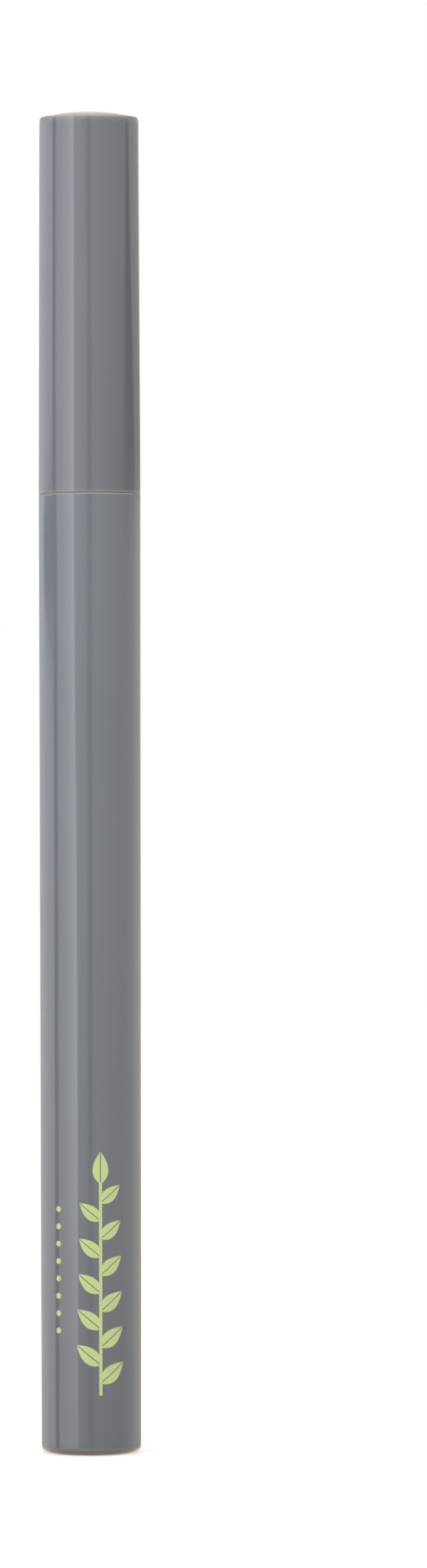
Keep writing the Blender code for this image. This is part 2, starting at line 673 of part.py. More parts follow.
def spring_path():
    """Points on the wire's centre line: even curls, with a closer curl at each end."""
    low = inner_cap_flange_top + SPRING_SEAT_GAP + SPRING_WIRE / 2
    high = cap_ceiling - SPRING_SEAT_GAP - SPRING_WIRE / 2
    weights = [1] * SPRING_CURLS
    weights[0] = SPRING_END_PITCH_SHARE
    weights[-1] = SPRING_END_PITCH_SHARE
    total = sum(weights)
    points = []
    climbed = 0
    for curl, weight in enumerate(weights):
        for step in range(SPRING_POINTS_PER_CURL):
            turn = step / SPRING_POINTS_PER_CURL
            angle = 2 * math.pi * turn
            height = between(low, high, (climbed + weight * turn) / total)
            points.append(
                Vector((spring_radius * math.cos(angle), spring_radius * math.sin(angle), height))
            )
        climbed += weight
    points.append(Vector((spring_radius, 0, high)))
    return points


def least_gap(points, skip, thickness):
    """The least space between stretches of a tube that are at least skip points apart."""
    gaps = []
    for i, first in enumerate(points):
        for second in points[i + skip :]:
            gaps.append((first - second).length - thickness)
    return min(gaps)


def make_spring(material, parts):
    points = spring_path()
    gap = least_gap(points, SPRING_POINTS_PER_CURL // 2, SPRING_WIRE)
    print(f"inner_cap_spring: least gap to itself {gap / MM:.2f} mm")
    curve = bpy.data.curves.new("inner_cap_spring", "CURVE")
    curve.dimensions = "3D"
    curve.bevel_depth = SPRING_WIRE / 2
    curve.bevel_resolution = 1
    curve.use_fill_caps = True
    spline = curve.splines.new("POLY")
    spline.points.add(len(points) - 1)
    for point, co in zip(spline.points, points):
        point.co = (*co, 1)
    curve.materials.append(material)
    spring = bpy.data.objects.new("inner_cap_spring", curve)
    parts.objects.link(spring)
    return spring


def parent_to(parent, *children):
    """Children keep their place in the world: a pivot has only a location."""
    for child in children:
        child.parent = parent
        child.matrix_parent_inverse = Matrix.Translation(-parent.location)


def add_pivot(name, height, collection):
    pivot = bpy.data.objects.new(name, None)
    pivot.location = (0, 0, height)
    collection.objects.link(pivot)
    return pivot


def make_pen():
    clear_scene()
    parts = new_collection("eyebrow_pen")
    cutters = new_collection("cutters")
    grey = new_material("grey_plastic", (0.20, 0.21, 0.22), 0.35)
    white = new_material("white_plastic", (0.75, 0.75, 0.73), 0.45)
    bristle = new_material("brown_bristle", (0.11, 0.08, 0.06), 0.6)
    fibre = new_material("fibre", (0.22, 0.14, 0.09), 0.9)
    film = new_material("clear_film", (0.7, 0.7, 0.68), 0.2)
    steel = new_material("spring_steel", (0.55, 0.55, 0.56), 0.3)
    steel.node_tree.nodes["Principled BSDF"].inputs["Metallic"].default_value = 1

    make_barrel(grey, parts, cutters)
    make_front_section(grey, parts)
    make_tip_holder(grey, parts, cutters)
    make_nib_retainer(white, parts)
    make_brush_nib(bristle, parts)
    make_feed_core(fibre, parts)
    make_reservoir_core(fibre, parts)
    make_reservoir_film(film, parts)
    cap_shell = make_cap_shell(grey, parts)
    inner_cap = make_inner_cap(white, parts)
    spring = make_spring(steel, parts)

    cap_pivot = add_pivot("cap_slide", cap_foot, parts)
    inner_pivot = add_pivot("inner_cap_slide", inner_cap_foot, parts)
    parent_to(cap_pivot, cap_shell, spring, inner_pivot)
    parent_to(inner_pivot, inner_cap)
    print(f"cap slide clears the brush at {(nib_tip - cap_foot) / MM:.1f} mm")


make_pen()
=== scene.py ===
"""The finished look of a liquid eyebrow pen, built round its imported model.

Each piece is made afresh from its own outline in the model, with finer faces, soft moulded
corners and its real finish, and the pen stands capped in a pale studio. Lengths are in
metres, +Z runs along the pen from its foot, and -Y faces the camera.
"""

import json
import math

import bmesh
import bpy
from mathutils import Matrix, Vector


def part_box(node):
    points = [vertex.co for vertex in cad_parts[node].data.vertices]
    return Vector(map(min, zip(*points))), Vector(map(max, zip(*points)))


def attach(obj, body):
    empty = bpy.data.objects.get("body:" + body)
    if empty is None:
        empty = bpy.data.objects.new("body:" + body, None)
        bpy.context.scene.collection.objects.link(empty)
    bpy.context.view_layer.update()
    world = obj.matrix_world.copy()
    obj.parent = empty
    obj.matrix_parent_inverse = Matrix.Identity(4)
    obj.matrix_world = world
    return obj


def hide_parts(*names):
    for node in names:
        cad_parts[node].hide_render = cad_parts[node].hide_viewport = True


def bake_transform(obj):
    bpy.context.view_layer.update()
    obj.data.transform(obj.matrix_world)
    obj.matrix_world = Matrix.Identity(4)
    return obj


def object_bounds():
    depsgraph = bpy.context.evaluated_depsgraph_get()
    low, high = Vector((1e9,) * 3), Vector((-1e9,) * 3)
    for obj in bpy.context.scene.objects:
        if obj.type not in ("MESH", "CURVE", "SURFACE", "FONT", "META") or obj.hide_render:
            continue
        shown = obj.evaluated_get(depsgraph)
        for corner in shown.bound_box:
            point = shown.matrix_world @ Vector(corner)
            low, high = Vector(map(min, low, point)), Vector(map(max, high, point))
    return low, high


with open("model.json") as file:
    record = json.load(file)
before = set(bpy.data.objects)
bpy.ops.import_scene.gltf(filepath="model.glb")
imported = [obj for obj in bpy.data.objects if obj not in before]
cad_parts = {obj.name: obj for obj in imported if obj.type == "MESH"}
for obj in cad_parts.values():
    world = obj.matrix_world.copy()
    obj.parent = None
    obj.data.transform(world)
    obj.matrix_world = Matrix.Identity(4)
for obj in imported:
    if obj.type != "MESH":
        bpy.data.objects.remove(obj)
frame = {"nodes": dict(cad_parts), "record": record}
cad_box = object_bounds()

# Barrel: a long polypropylene tube, injection moulded in one with its closed foot. A slight
# draft lets it off its core, six ribs inside carry the reservoir clear of the wall, and a
# small dimple under the foot holds the mark where the plastic was fed in.

MM = 0.001
WELD = 0.001 * MM
POLE_REACH = 0.15 * MM
CLEAR_ANGLE = math.radians(45)
SIDES = 128
SOFT_BEND = math.radians(25)
SHARP_EDGE = math.radians(35)
CORNER_REACH = 0.05 * MM
CORNER_STEPS = 4
SHOULDER_SHARE = 2.5
SHOULDER_ROOM_SHARE = 6
MOUTH_ROUND_ACROSS = 0.10 * MM
MOUTH_ROUND_ALONG = 0.21 * MM
GATE_DIMPLE_RADIUS = 1.10 * MM
GATE_DIMPLE_DEPTH = 0.22 * MM
GATE_MARK_RADIUS = 0.35 * MM
GATE_MARK_DEPTH = 0.08 * MM
RIB_COUNT = 6
RIB_THICKNESS = 0.60 * MM
RIB_EMBED = 0.30 * MM
RIB_CLEARANCE = 0.05 * MM
RIB_SEAT_INNER_RADIUS = 1.40 * MM
RIB_TOP_BELOW_SPIGOT = 3.00 * MM
RESERVOIR_SEAT_GAP = 0.10 * MM
WALL_WIDER = 0.055 * MM
GREY = (0.177, 0.195, 0.228)
GREY_SPREAD = 0.06
# A painted highlight on the mouth's rounded edge: its paler grey, and the depths below the mouth's
# top where it is full and where it is gone
MOUTH_HIGHLIGHT_GREY = (0.175, 0.207, 0.258)
MOUTH_HIGHLIGHT_HIGH = 0.12 * MM
MOUTH_HIGHLIGHT_LOW = 0.28 * MM
# A pattern is its stretch along the three axes, its fineness and its detail
CLOUDS = ((1, 1, 0.35), 150, 3)
STREAKS = ((1, 1, 0.03), 2200, 2)
RIPPLE = ((1, 1, 0.30), 420, 1)
CLOUD_SHARE = 0.7
STREAK_RELIEF_SHARE = 0.10
GREY_RELIEF = 0.0010 * MM
GREY_ROUGHNESS = 0.04
GREY_ROUGHER = 0.04


class Socket:
    """A node's output. Sums on it add Math nodes to its tree."""

    def __init__(self, build, output):
        self.build = build
        self.output = output

    def __add__(self, other):
        return self.build.math("ADD", self, other)

    def __sub__(self, other):
        return self.build.math("SUBTRACT", self, other)

    def __rsub__(self, other):
        return self.build.math("SUBTRACT", other, self)

    def __mul__(self, other):
        return self.build.math("MULTIPLY", self, other)

    def __truediv__(self, other):
        return self.build.math("DIVIDE", self, other)

    def __rtruediv__(self, other):
        return self.build.math("DIVIDE", other, self)

    __radd__ = __add__
    __rmul__ = __mul__


class Build:
    """Adds nodes to one tree, so that the tree reads as plain steps."""

    def __init__(self, tree):
        self.tree = tree

    def node(self, kind, sockets, output=0, **settings):
        added = self.tree.nodes.new(kind)
        for name, value in settings.items():
            if name == "stops":
                self.set_stops(added.color_ramp, value)
            else:
                setattr(added, name, value)
        for key, value in sockets.items():
            self.plug(value, added.inputs[key])
        return Socket(self, added.outputs[output])

    def plug(self, value, socket):
        if isinstance(value, Socket):
            self.tree.links.new(value.output, socket)
        else:
            socket.default_value = value

    def set_stops(self, ramp, stops):
        for place, _ in stops[2:]:
            ramp.elements.new(place)
        for element, (place, colour) in zip(ramp.elements, stops):
            element.position = place
            element.color = colour

    def math(self, operation, *values):
        return self.node("ShaderNodeMath", dict(enumerate(values)), operation=operation)

    def mix(self, factor, first, second):
        sockets = {0: factor, 6: first, 7: second}
        return self.node("ShaderNodeMix", sockets, output=2, data_type="RGBA")

    def tones(self, shade, colour, spread):
        """The colour, from darker to lighter by a share of itself as the shade rises."""
        return self.mix(shade, rgba(colour, 1 - spread), rgba(colour, 1 + spread))

    def noise(self, place, stretch, scale, detail):
        stretched = self.node("ShaderNodeVectorMath", {0: place, 1: stretch}, operation="MULTIPLY")
        sockets = {"Vector": stretched, "Scale": scale, "Detail": detail}
        return self.node("ShaderNodeTexNoise", sockets)

    def relief(self, height, depth):
        sockets = {"Strength": 1, "Distance": depth, "Height": height}
        return self.node("ShaderNodeBump", sockets)

    def part(self, vector, axis):
        return self.node("ShaderNodeSeparateXYZ", {"Vector": vector}, output=axis)

    def scaled(self, vector, factor):
        sockets = {0: vector, "Scale": factor}
        return self.node("ShaderNodeVectorMath", sockets, operation="SCALE")

    def fade(self, value, none_at, full_at):
        """Rises softly from none to one as the value goes from one height or angle to another."""
        sockets = {"Value": value, "From Min": none_at, "From Max": full_at}
        return self.node("ShaderNodeMapRange", sockets, interpolation_type="SMOOTHSTEP")

    def join(self, *geometries):
        joint = self.tree.nodes.new("GeometryNodeJoinGeometry")
        for geometry in geometries:
            self.plug(geometry, joint.inputs["Geometry"])
        return Socket(self, joint.outputs[0])


def new_finish(name):
    """A material, its builder, its Object coordinates and its Principled shader's sockets."""
    finish = bpy.data.materials.new(name)
    finish.use_nodes = True
    build = Build(finish.node_tree)
    place = build.node("ShaderNodeTexCoord", {}, output="Object")
    return finish, build, place, finish.node_tree.nodes["Principled BSDF"].inputs


def rgba(colour, level=1):
    return (colour[0] * level, colour[1] * level, colour[2] * level, 1)


def grey_plastic(name, colour):
    """Glossy dyed polypropylene: faint clouds, flow streaks along the pen, a slight ripple."""
    finish, build, place, shader = new_finish(name)
    clouds = build.noise(place, *CLOUDS)
    streaks = build.noise(place, *STREAKS)
    ripple = build.noise(place, *RIPPLE)
    shade = clouds * CLOUD_SHARE + streaks * (1 - CLOUD_SHARE)
    rough = GREY_ROUGHNESS + streaks * GREY_ROUGHER + clouds * GREY_ROUGHER
    relief = build.relief(ripple + streaks * STREAK_RELIEF_SHARE, GREY_RELIEF)
    build.plug(build.tones(shade, colour, GREY_SPREAD), shader["Base Color"])
    build.plug(rough, shader["Roughness"])
    build.plug(relief, shader["Normal"])
    return finish


def paint_edge_highlight(finish, highlight_colour, *fades):
    """Paints a highlight into the colour: a paler colour near an edge, in bands of height.
    Each fade is the height where it's palest and the height where it's plain again."""
    build = Build(finish.node_tree)
    colour = finish.node_tree.nodes["Principled BSDF"].inputs["Base Color"]
    plain = Socket(build, colour.links[0].from_socket)
    place = build.node("ShaderNodeTexCoord", {}, output="Object")
    height = build.part(place, "Z")
    away = 0
    for palest_height, plain_height in fades:
        away = build.math("MAXIMUM", away, build.fade(height, palest_height, plain_height))
    build.plug(build.mix(away, rgba(highlight_colour), plain), colour)


def model_outline(node):
    """A turned node's outline as (radius, height) points, and whether it closes on itself."""
    bm = bmesh.new()
    bm.from_mesh(frame["nodes"][node].data)
    bmesh.ops.remove_doubles(bm, verts=bm.verts, dist=WELD)
    bm.transform(Matrix.Rotation(-CLEAR_ANGLE, 4, "Z"))
    poles = [v.co.z for v in bm.verts if v.co.xy.length < WELD]
    beside = {v: [] for v in bm.verts if abs(v.co.y) < WELD and v.co.x > WELD}
    for edge in bm.edges:
        first, second = edge.verts
        if first in beside and second in beside:
            beside[first].append(second)
            beside[second].append(first)
    ends = [v for v in beside if len(beside[v]) == 1]
    path = [max(ends or beside, key=lambda v: v.co.z)]
    while onward := [v for v in beside[path[-1]] if v not in path]:
        path.append(onward[0])
    outline = [(v.co.x, v.co.z) for v in path]
    bm.free()
    if not ends:
        return outline, True
    to_axis = []
    for _, height in (outline[0], outline[-1]):
        pole = min(poles, default=height, key=lambda other: abs(other - height))
        to_axis.append((0, pole if abs(pole - height) < POLE_REACH else height))
    return [to_axis[0], *outline, to_axis[1]], False


def bezier(first, middle, last, share):
    near = first.lerp(middle, share)
    far = middle.lerp(last, share)
    return near.lerp(far, share)


def soft_corners(outline, closed):
    """Runs slight bends into curves, and gives each sharp corner a small moulded radius."""
    points = [Vector(point) for point in outline]
    softened = []
    for index, corner in enumerate(points):
        if not closed and index in (0, len(points) - 1):
            softened.append(corner)
            continue
        back = points[index - 1] - corner
        onward = points[(index + 1) % len(points)] - corner
        room = min(back.length, onward.length) / 2
        sharp = math.pi - back.angle(onward) > SOFT_BEND
        cut = min(CORNER_REACH, room) if sharp else room
        first = corner + back.normalized() * cut
        last = corner + onward.normalized() * cut
        # A point further along each flat keeps the shading of the corner off it
        if back.length > SHOULDER_ROOM_SHARE * cut:
            softened.append(corner + back.normalized() * cut * SHOULDER_SHARE)
        for step in range(CORNER_STEPS + 1):
            softened.append(bezier(first, corner, last, step / CORNER_STEPS))
        if onward.length > SHOULDER_ROOM_SHARE * cut:
            softened.append(corner + onward.normalized() * cut * SHOULDER_SHARE)
    return softened


def eased(corner, across, along):
    """A quarter ellipse in place of a corner, from the end's face round to the outer wall."""
    radius, height = corner
    angles = [math.pi / 2 * step / CORNER_STEPS for step in range(CORNER_STEPS + 1)]
    return [
        (radius - across * (1 - math.sin(angle)), height - along * (1 - math.cos(angle)))
        for angle in angles
    ]


def new_piece(name, mesh, finish):
    """A mesh as an object at the origin, smooth but for its sharp edges."""
    mesh.name = name
    mesh.materials.clear()
    mesh.materials.append(finish)
    mesh.shade_smooth()
    mesh.set_sharp_from_angle(angle=SHARP_EDGE)
    piece = bpy.data.objects.new(name, mesh)
    bpy.context.scene.collection.objects.link(piece)
    return piece


def built(name, bm, finish):
    """What was put together in a bmesh, as a piece."""
    mesh = bpy.data.meshes.new(name)
    bm.to_mesh(mesh)
    bm.free()
    return new_piece(name, mesh, finish)


def turned(name, outline, closed, finish):
    """Turns a softened outline round the pen's axis into a closed shell."""
    bm = bmesh.new()
    verts = [bm.verts.new((point[0], 0, point[1])) for point in soft_corners(outline, closed)]
    edges = [bm.edges.new(pair) for pair in zip(verts, verts[1:])]
    if closed:
        edges.append(bm.edges.new((verts[-1], verts[0])))
    turn = {"cent": (0, 0, 0), "axis": (0, 0, 1), "angle": 2 * math.pi, "steps": SIDES}
    bmesh.ops.spin(bm, geom=verts + edges, **turn)
    bmesh.ops.remove_doubles(bm, verts=bm.verts, dist=WELD / 10)
    bmesh.ops.recalc_face_normals(bm, faces=bm.faces)
    return built(name, bm, finish)


def baked(piece):
    """Makes what the modifiers give the piece's own plain mesh."""
    graph = bpy.context.evaluated_depsgraph_get()
    mesh = bpy.data.meshes.new_from_object(piece.evaluated_get(graph))
    piece.modifiers.clear()
    piece.data = mesh
    mesh.shade_smooth()
    mesh.set_sharp_from_angle(angle=SHARP_EDGE)
    return piece


def grown(piece, tree, values):
    """Runs a Geometry Nodes tree on the piece, with its named inputs, and bakes the result."""
    modifier = piece.modifiers.new(tree.name, "NODES")
    modifier.node_group = tree
    for item in tree.interface.items_tree:
        if item.in_out == "INPUT" and item.name in values:
            modifier[item.identifier] = values[item.name]
    return baked(piece)


def new_tree(name, inputs):
    """A Geometry Nodes tree with named inputs, its builder, and each input as a socket."""
    tree = bpy.data.node_groups.new(name, "GeometryNodeTree")
    for label, kind in {"Geometry": "Geometry", **inputs, "Finish": "Material"}.items():
        tree.interface.new_socket(label, in_out="INPUT", socket_type="NodeSocket" + kind)
    tree.interface.new_socket("Geometry", in_out="OUTPUT", socket_type="NodeSocketGeometry")
    source = tree.nodes.new("NodeGroupInput")
    build = Build(tree)
    given = {item.name: Socket(build, item) for item in source.outputs if item.name}
    return tree, build, given


def end_tree(build, geometry, finish):
    real = build.node("GeometryNodeRealizeInstances", {"Geometry": geometry})
    dressed = build.node("GeometryNodeSetMaterial", {"Geometry": real, "Material": finish})
    end = build.tree.nodes.new("NodeGroupOutput")
    build.plug(dressed, end.inputs["Geometry"])


def spaced_round_tree():
    """Copies of one shape, spaced evenly round the pen's axis."""
    tree, build, given = new_tree("spaced_round", {"Count": "Int", "Turn": "Float"})
    sockets = {"Count": given["Count"], "Offset": (0, 0, 0)}
    places = build.node("GeometryNodeMeshLine", sockets)
    index = build.node("GeometryNodeInputIndex", {})
    angle = index * (2 * math.pi) / given["Count"] + given["Turn"]
    rotation = build.node("ShaderNodeCombineXYZ", {"Z": angle})
    sockets = {"Points": places, "Instance": given["Geometry"], "Rotation": rotation}
    copies = build.node("GeometryNodeInstanceOnPoints", sockets)
    end_tree(build, copies, given["Finish"])
    return tree


spaced_round = spaced_round_tree()


def blades(name, outline, thickness, count, turn, finish):
    """Flat plates of one outline, evenly round the axis, to add to a piece or cut from it."""
    bm = bmesh.new()
    corners = [bm.verts.new((across, -thickness / 2, along)) for across, along in outline]
    swept = bmesh.ops.extrude_face_region(bm, geom=[bm.faces.new(corners)])["geom"]
    moved = [item for item in swept if isinstance(item, bmesh.types.BMVert)]
    bmesh.ops.translate(bm, verts=moved, vec=(0, thickness, 0))
    bmesh.ops.recalc_face_normals(bm, faces=bm.faces)
    plates = built(name, bm, finish)
    return grown(plates, spaced_round, {"Count": count, "Turn": turn, "Finish": finish})


def combine(piece, operation, other):
    """Adds another shape to a piece or cuts it away, and removes the other."""
    boolean = piece.modifiers.new(operation, "BOOLEAN")
    boolean.operation = operation
    boolean.solver = "EXACT"
    boolean.object = other
    baked(piece)
    bpy.data.objects.remove(other)


def stand_for(node, piece):
    """The piece takes its node's place and rides on the node's body."""
    bodies = frame["record"]["behaviour"]["bodies"]
    body = next(name for name, members in bodies.items() if node in members)
    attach(piece, body)
    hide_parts(node)


grey = grey_plastic("grey_plastic", GREY)
barrel_grey = grey_plastic("barrel_grey_plastic", GREY)
barrel_outline, _ = model_outline("barrel")
mouth = max(range(len(barrel_outline)), key=lambda index: barrel_outline[index][::-1])
mouth_corner = (barrel_outline[mouth + 1][0], barrel_outline[mouth][1])
mouth_top = mouth_corner[1]
barrel_outline[mouth : mouth + 2] = eased(mouth_corner, MOUTH_ROUND_ACROSS, MOUTH_ROUND_ALONG)
below_mouth = slice(mouth + CORNER_STEPS + 1, -1)
barrel_outline[below_mouth] = [(r + WALL_WIDER, z) for r, z in barrel_outline[below_mouth]]
# The mouth's rounded edge gets a painted highlight, a paler and bluer grey in the barrel's colour
mouth_highlight_fade = (mouth_top - MOUTH_HIGHLIGHT_HIGH, mouth_top - MOUTH_HIGHLIGHT_LOW)
paint_edge_highlight(barrel_grey, MOUTH_HIGHLIGHT_GREY, mouth_highlight_fade)
film_low, film_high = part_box("reservoir_film")
spigot_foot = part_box("front_section")[0].z
barrel_floor = barrel_outline[0][1]
bore_radius = barrel_outline[1][0]
rib_crest = film_high.x + RIB_CLEARANCE
rib_seat = film_low.z - RESERVOIR_SEAT_GAP
rib_top = spigot_foot - RIB_TOP_BELOW_SPIGOT
rib_outline = [
    (RIB_SEAT_INNER_RADIUS, barrel_floor - RIB_EMBED),
    (bore_radius + RIB_EMBED, barrel_floor - RIB_EMBED),
    (bore_radius + RIB_EMBED, rib_top),
    (rib_crest, rib_top),
    (rib_crest, rib_seat),
    (RIB_SEAT_INNER_RADIUS, rib_seat),
]
barrel_outline[-1:] = [
    (GATE_DIMPLE_RADIUS, 0),
    (GATE_DIMPLE_RADIUS, GATE_DIMPLE_DEPTH),
    (GATE_MARK_RADIUS, GATE_DIMPLE_DEPTH),
    (GATE_MARK_RADIUS, GATE_MARK_DEPTH),
    (0, GATE_MARK_DEPTH),
]
barrel = turned("pen_barrel", barrel_outline, False, barrel_grey)
combine(barrel, "UNION", blades("ribs", rib_outline, RIB_THICKNESS, RIB_COUNT, 0, barrel_grey))
stand_for("barrel", barrel)

# Printed sprig: a plain leafy stem with a row of dots beside it, screen printed in pale
# green ink on the front of the barrel. The ink stands a hundredth of a millimetre proud.

INK = (0.580, 0.720, 0.335)
INK_SPREAD = 0.10
INK_GRAIN = ((1, 1, 1), 7000, 2)
INK_PATCHES = ((1, 1, 1), 500, 2)
INK_ROUGHNESS = 0.38
INK_ROUGHER = 0.12
INK_RELIEF = 0.003 * MM
INK_PROUD = 0.012 * MM
INK_SUNK = 0.008 * MM
FOOT_ROUND = 0.70 * MM
SPRIG_FOOT = 6.4 * MM
SPRIG_LENGTH = 25.7 * MM
SPRIG_ACROSS = 1.10 * MM
STEM_WIDTH = 0.34 * MM
STEM_OVERLAP = 0.20 * MM
STEM_STEPS = 60
LEAF_COUNT = 11
LEAF_LENGTH = 3.40 * MM
LEAF_WIDTH = 1.70 * MM
LEAF_ANGLE = math.radians(50)
LEAF_STEPS = 16
LEAF_BELLY_POWER = 0.8
LEAF_FULLNESS_POWER = 0.9
LEAF_FOOT_GAP = 1.30 * MM
LEAF_PITCH = 1.90 * MM
LAST_LEAF_SIZE = 0.84
VEIN_WIDTH = 0.11 * MM
DOT_COUNT = 8
DOT_FOOT = 13.2 * MM
DOT_PITCH = 1.83 * MM
DOT_ACROSS = -3.62 * MM
DOT_DIAMETER = 0.62 * MM
DOT_SIDES = 24


def green_ink():
    """Screen ink: flat and pale, with the fine grain of the mesh it was pushed through."""
    finish, build, place, shader = new_finish("green_ink")
    grain = build.noise(place, *INK_GRAIN)
    patches = build.noise(place, *INK_PATCHES)
    build.plug(build.tones((grain + patches) / 2, INK, INK_SPREAD), shader["Base Color"])
    build.plug(INK_ROUGHNESS + grain * INK_ROUGHER, shader["Roughness"])
    build.plug(build.relief(grain, INK_RELIEF), shader["Normal"])
    return finish


def flat_shape(name, rows, finish):
    """A flat sheet made of strips between rows of (along, across) points. It faces outwards
    once it is wrapped on the barrel."""
    bm = bmesh.new()
    lines = [[bm.verts.new((along, across, 0)) for along, across in row] for row in rows]
    for first, second in zip(lines, lines[1:]):
        for index in range(len(first) - 1):
            bm.faces.new((first[index], first[index + 1], second[index + 1], second[index]))
    bmesh.ops.remove_doubles(bm, verts=bm.verts, dist=WELD)
    return built(name, bm, finish)


def leaf_rows(side):
    """Half a leaf, from its vein out to its edge, for one side of the vein."""
    rows = []
    for step in range(LEAF_STEPS + 1):
        share = step / LEAF_STEPS
        swell = math.sin(math.pi * share**LEAF_BELLY_POWER)
        half = LEAF_WIDTH / 2 * swell**LEAF_FULLNESS_POWER
        vein = min(VEIN_WIDTH / 2, half)
        across = [vein + (half - vein) * part for part in (0, 0.5, 1)]
        if side < 0:
            across.reverse()
        rows.append([(LEAF_LENGTH * share, side * out) for out in across])
    return rows


def printed_row_tree():
    """Copies of a flat shape in a row up the barrel, wrapped on it and given the ink's depth."""
    tree, build, given = new_tree(
        "printed_row",
        {
            "Count": "Int",
            "Foot": "Float",
            "Pitch": "Float",
            "Across": "Float",
            "Swing": "Float",
            "Last size": "Float",
            "Low radius": "Float",
            "Low draft": "Float",
            "High radius": "Float",
            "High draft": "Float",
        },
    )
    sockets = {"Count": given["Count"], "Offset": (0, 0, 0)}
    places = build.node("GeometryNodeMeshLine", sockets)
    index = build.node("GeometryNodeInputIndex", {})
    last = build.math("MAXIMUM", given["Count"] - 1, 1)
    size = 1 - (1 - given["Last size"]) * (index / last)
    side = 1 - 2 * build.math("MODULO", index, 2)
    along = given["Foot"] + given["Pitch"] * index
    spot = build.node("ShaderNodeCombineXYZ", {"X": along, "Y": given["Across"]})
    swing = build.node("ShaderNodeCombineXYZ", {"Z": given["Swing"] * side})
    even = build.node("ShaderNodeCombineXYZ", {"X": size, "Y": size, "Z": size})
    sockets = {"Geometry": places, "Position": spot}
    placed = build.node("GeometryNodeSetPosition", sockets)
    sockets = {"Points": placed, "Instance": given["Geometry"], "Rotation": swing, "Scale": even}
    copies = build.node("GeometryNodeInstanceOnPoints", sockets)
    flat = build.node("GeometryNodeRealizeInstances", {"Geometry": copies})

    position = build.node("GeometryNodeInputPosition", {})
    height = build.part(position, "X")
    across = build.part(position, "Y")
    lower_wall = given["Low radius"] + given["Low draft"] * height
    upper_wall = given["High radius"] + given["High draft"] * height
    radius = build.math("MINIMUM", lower_wall, upper_wall) - INK_SUNK
    angle = across / radius
    wrapped = build.node(
        "ShaderNodeCombineXYZ",
        {
            "X": radius * build.math("SINE", angle),
            "Y": radius * -1 * build.math("COSINE", angle),
            "Z": height,
        },
    )
    sockets = {"Geometry": flat, "Position": wrapped}
    skin = build.node("GeometryNodeSetPosition", sockets)
    sockets = {"Mesh": skin, "Offset Scale": INK_PROUD + INK_SUNK, "Individual": False}
    raised = build.node("GeometryNodeExtrudeMesh", sockets)
    under = build.node("GeometryNodeFlipFaces", {"Mesh": skin})
    sockets = {"Geometry": build.join(raised, under), "Distance": WELD / 4}
    closed = build.node("GeometryNodeMergeByDistance", sockets)
    end_tree(build, closed, given["Finish"])
    return tree


def joined(name, pieces, finish):
    """Several pieces' meshes as one piece."""
    bm = bmesh.new()
    for piece in pieces:
        bm.from_mesh(piece.data)
        bpy.data.objects.remove(piece)
    return built(name, bm, finish)


def whole_leaf(name):
    halves = [flat_shape(name + "_half", leaf_rows(side), ink) for side in (1, -1)]
    return joined(name, halves, ink)


def straight_draft(low, high):
    """The radius that a stretch of wall would have at the foot, and its growth with height."""
    growth = (high[0] - low[0]) / (high[1] - low[1])
    return low[0] - growth * low[1], growth


ink = green_ink()
printed_row = printed_row_tree()
outer_wall = barrel_outline[barrel_outline.index(max(barrel_outline, key=lambda p: p[1])) :]
wall_stations = [point for point in reversed(outer_wall) if point[1] > FOOT_ROUND]
low_radius, low_draft = straight_draft(*wall_stations[0:2])
high_radius, high_draft = straight_draft(*wall_stations[1:3])
on_wall = {
    "Low radius": low_radius,
    "Low draft": low_draft,
    "High radius": high_radius,
    "High draft": high_draft,
    "Finish": ink,
}
leaves = grown(
    whole_leaf("side_leaf"),
    printed_row,
    {
        "Count": LEAF_COUNT,
        "Foot": SPRIG_FOOT + LEAF_FOOT_GAP,
        "Pitch": LEAF_PITCH,
        "Across": SPRIG_ACROSS,
        "Swing": LEAF_ANGLE,
        "Last size": LAST_LEAF_SIZE,
        **on_wall,
    },
)
single = {"Count": 1, "Across": SPRIG_ACROSS, **on_wall}
top_foot = SPRIG_FOOT + SPRIG_LENGTH - LEAF_LENGTH
top_leaf = grown(whole_leaf("top_leaf"), printed_row, {**single, "Foot": top_foot})
stem_length = SPRIG_LENGTH - LEAF_LENGTH + STEM_OVERLAP
stem_rows = [
    [(stem_length * step / STEM_STEPS, side * STEM_WIDTH / 2) for side in (-1, 1)]
    for step in range(STEM_STEPS + 1)
]
stem = grown(flat_shape("stem", stem_rows, ink), printed_row, {**single, "Foot": SPRIG_FOOT})
dot_radii = [DOT_DIAMETER / 2 * part for part in (0, 0.5, 1)]
dot_angles = [2 * math.pi * step / DOT_SIDES for step in range(DOT_SIDES, -1, -1)]
dot_rows = [
    [(radius * math.cos(angle), radius * math.sin(angle)) for radius in dot_radii]
    for angle in dot_angles
]
dots = grown(
    flat_shape("dot", dot_rows, ink),
    printed_row,
    {
        "Count": DOT_COUNT,
        "Foot": DOT_FOOT,
        "Pitch": DOT_PITCH,
        "Across": DOT_ACROSS,
        "Last size": 1.0,
        **on_wall,
    },
)
printed_sprig = joined("printed_sprig", [leaves, top_leaf, stem, dots], ink)
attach(printed_sprig, "pen_body")

# Reservoir: a rod of crimped polyester fibre that holds the liquid, in a thin clear sleeve of
# film. Both stand on the barrel's ribs.

SOAKED = (0.150, 0.088, 0.055)
SOAKED_STRANDS = ((1, 1, 0.05), 5000, 3)
SOAKED_RELIEF = 0.03 * MM
SOAK_PATCHES = ((1, 1, 0.5), 90, 2)
FIBRE_SPREAD = 0.45
FIBRE_STRAND_SHARE = 0.75
FIBRE_ROUGHNESS = 0.95
FIBRE_SMOOTHER = 0.25
FILM = (0.72, 0.72, 0.70)
FILM_SPREAD = 0.1
FILM_CREASES = ((1, 1, 0.02), 900, 2)
FILM_RELIEF = 0.01 * MM
FILM_ROUGHNESS = 0.12
FILM_ROUGHER = 0.15
FILM_CLEARNESS = 0.6


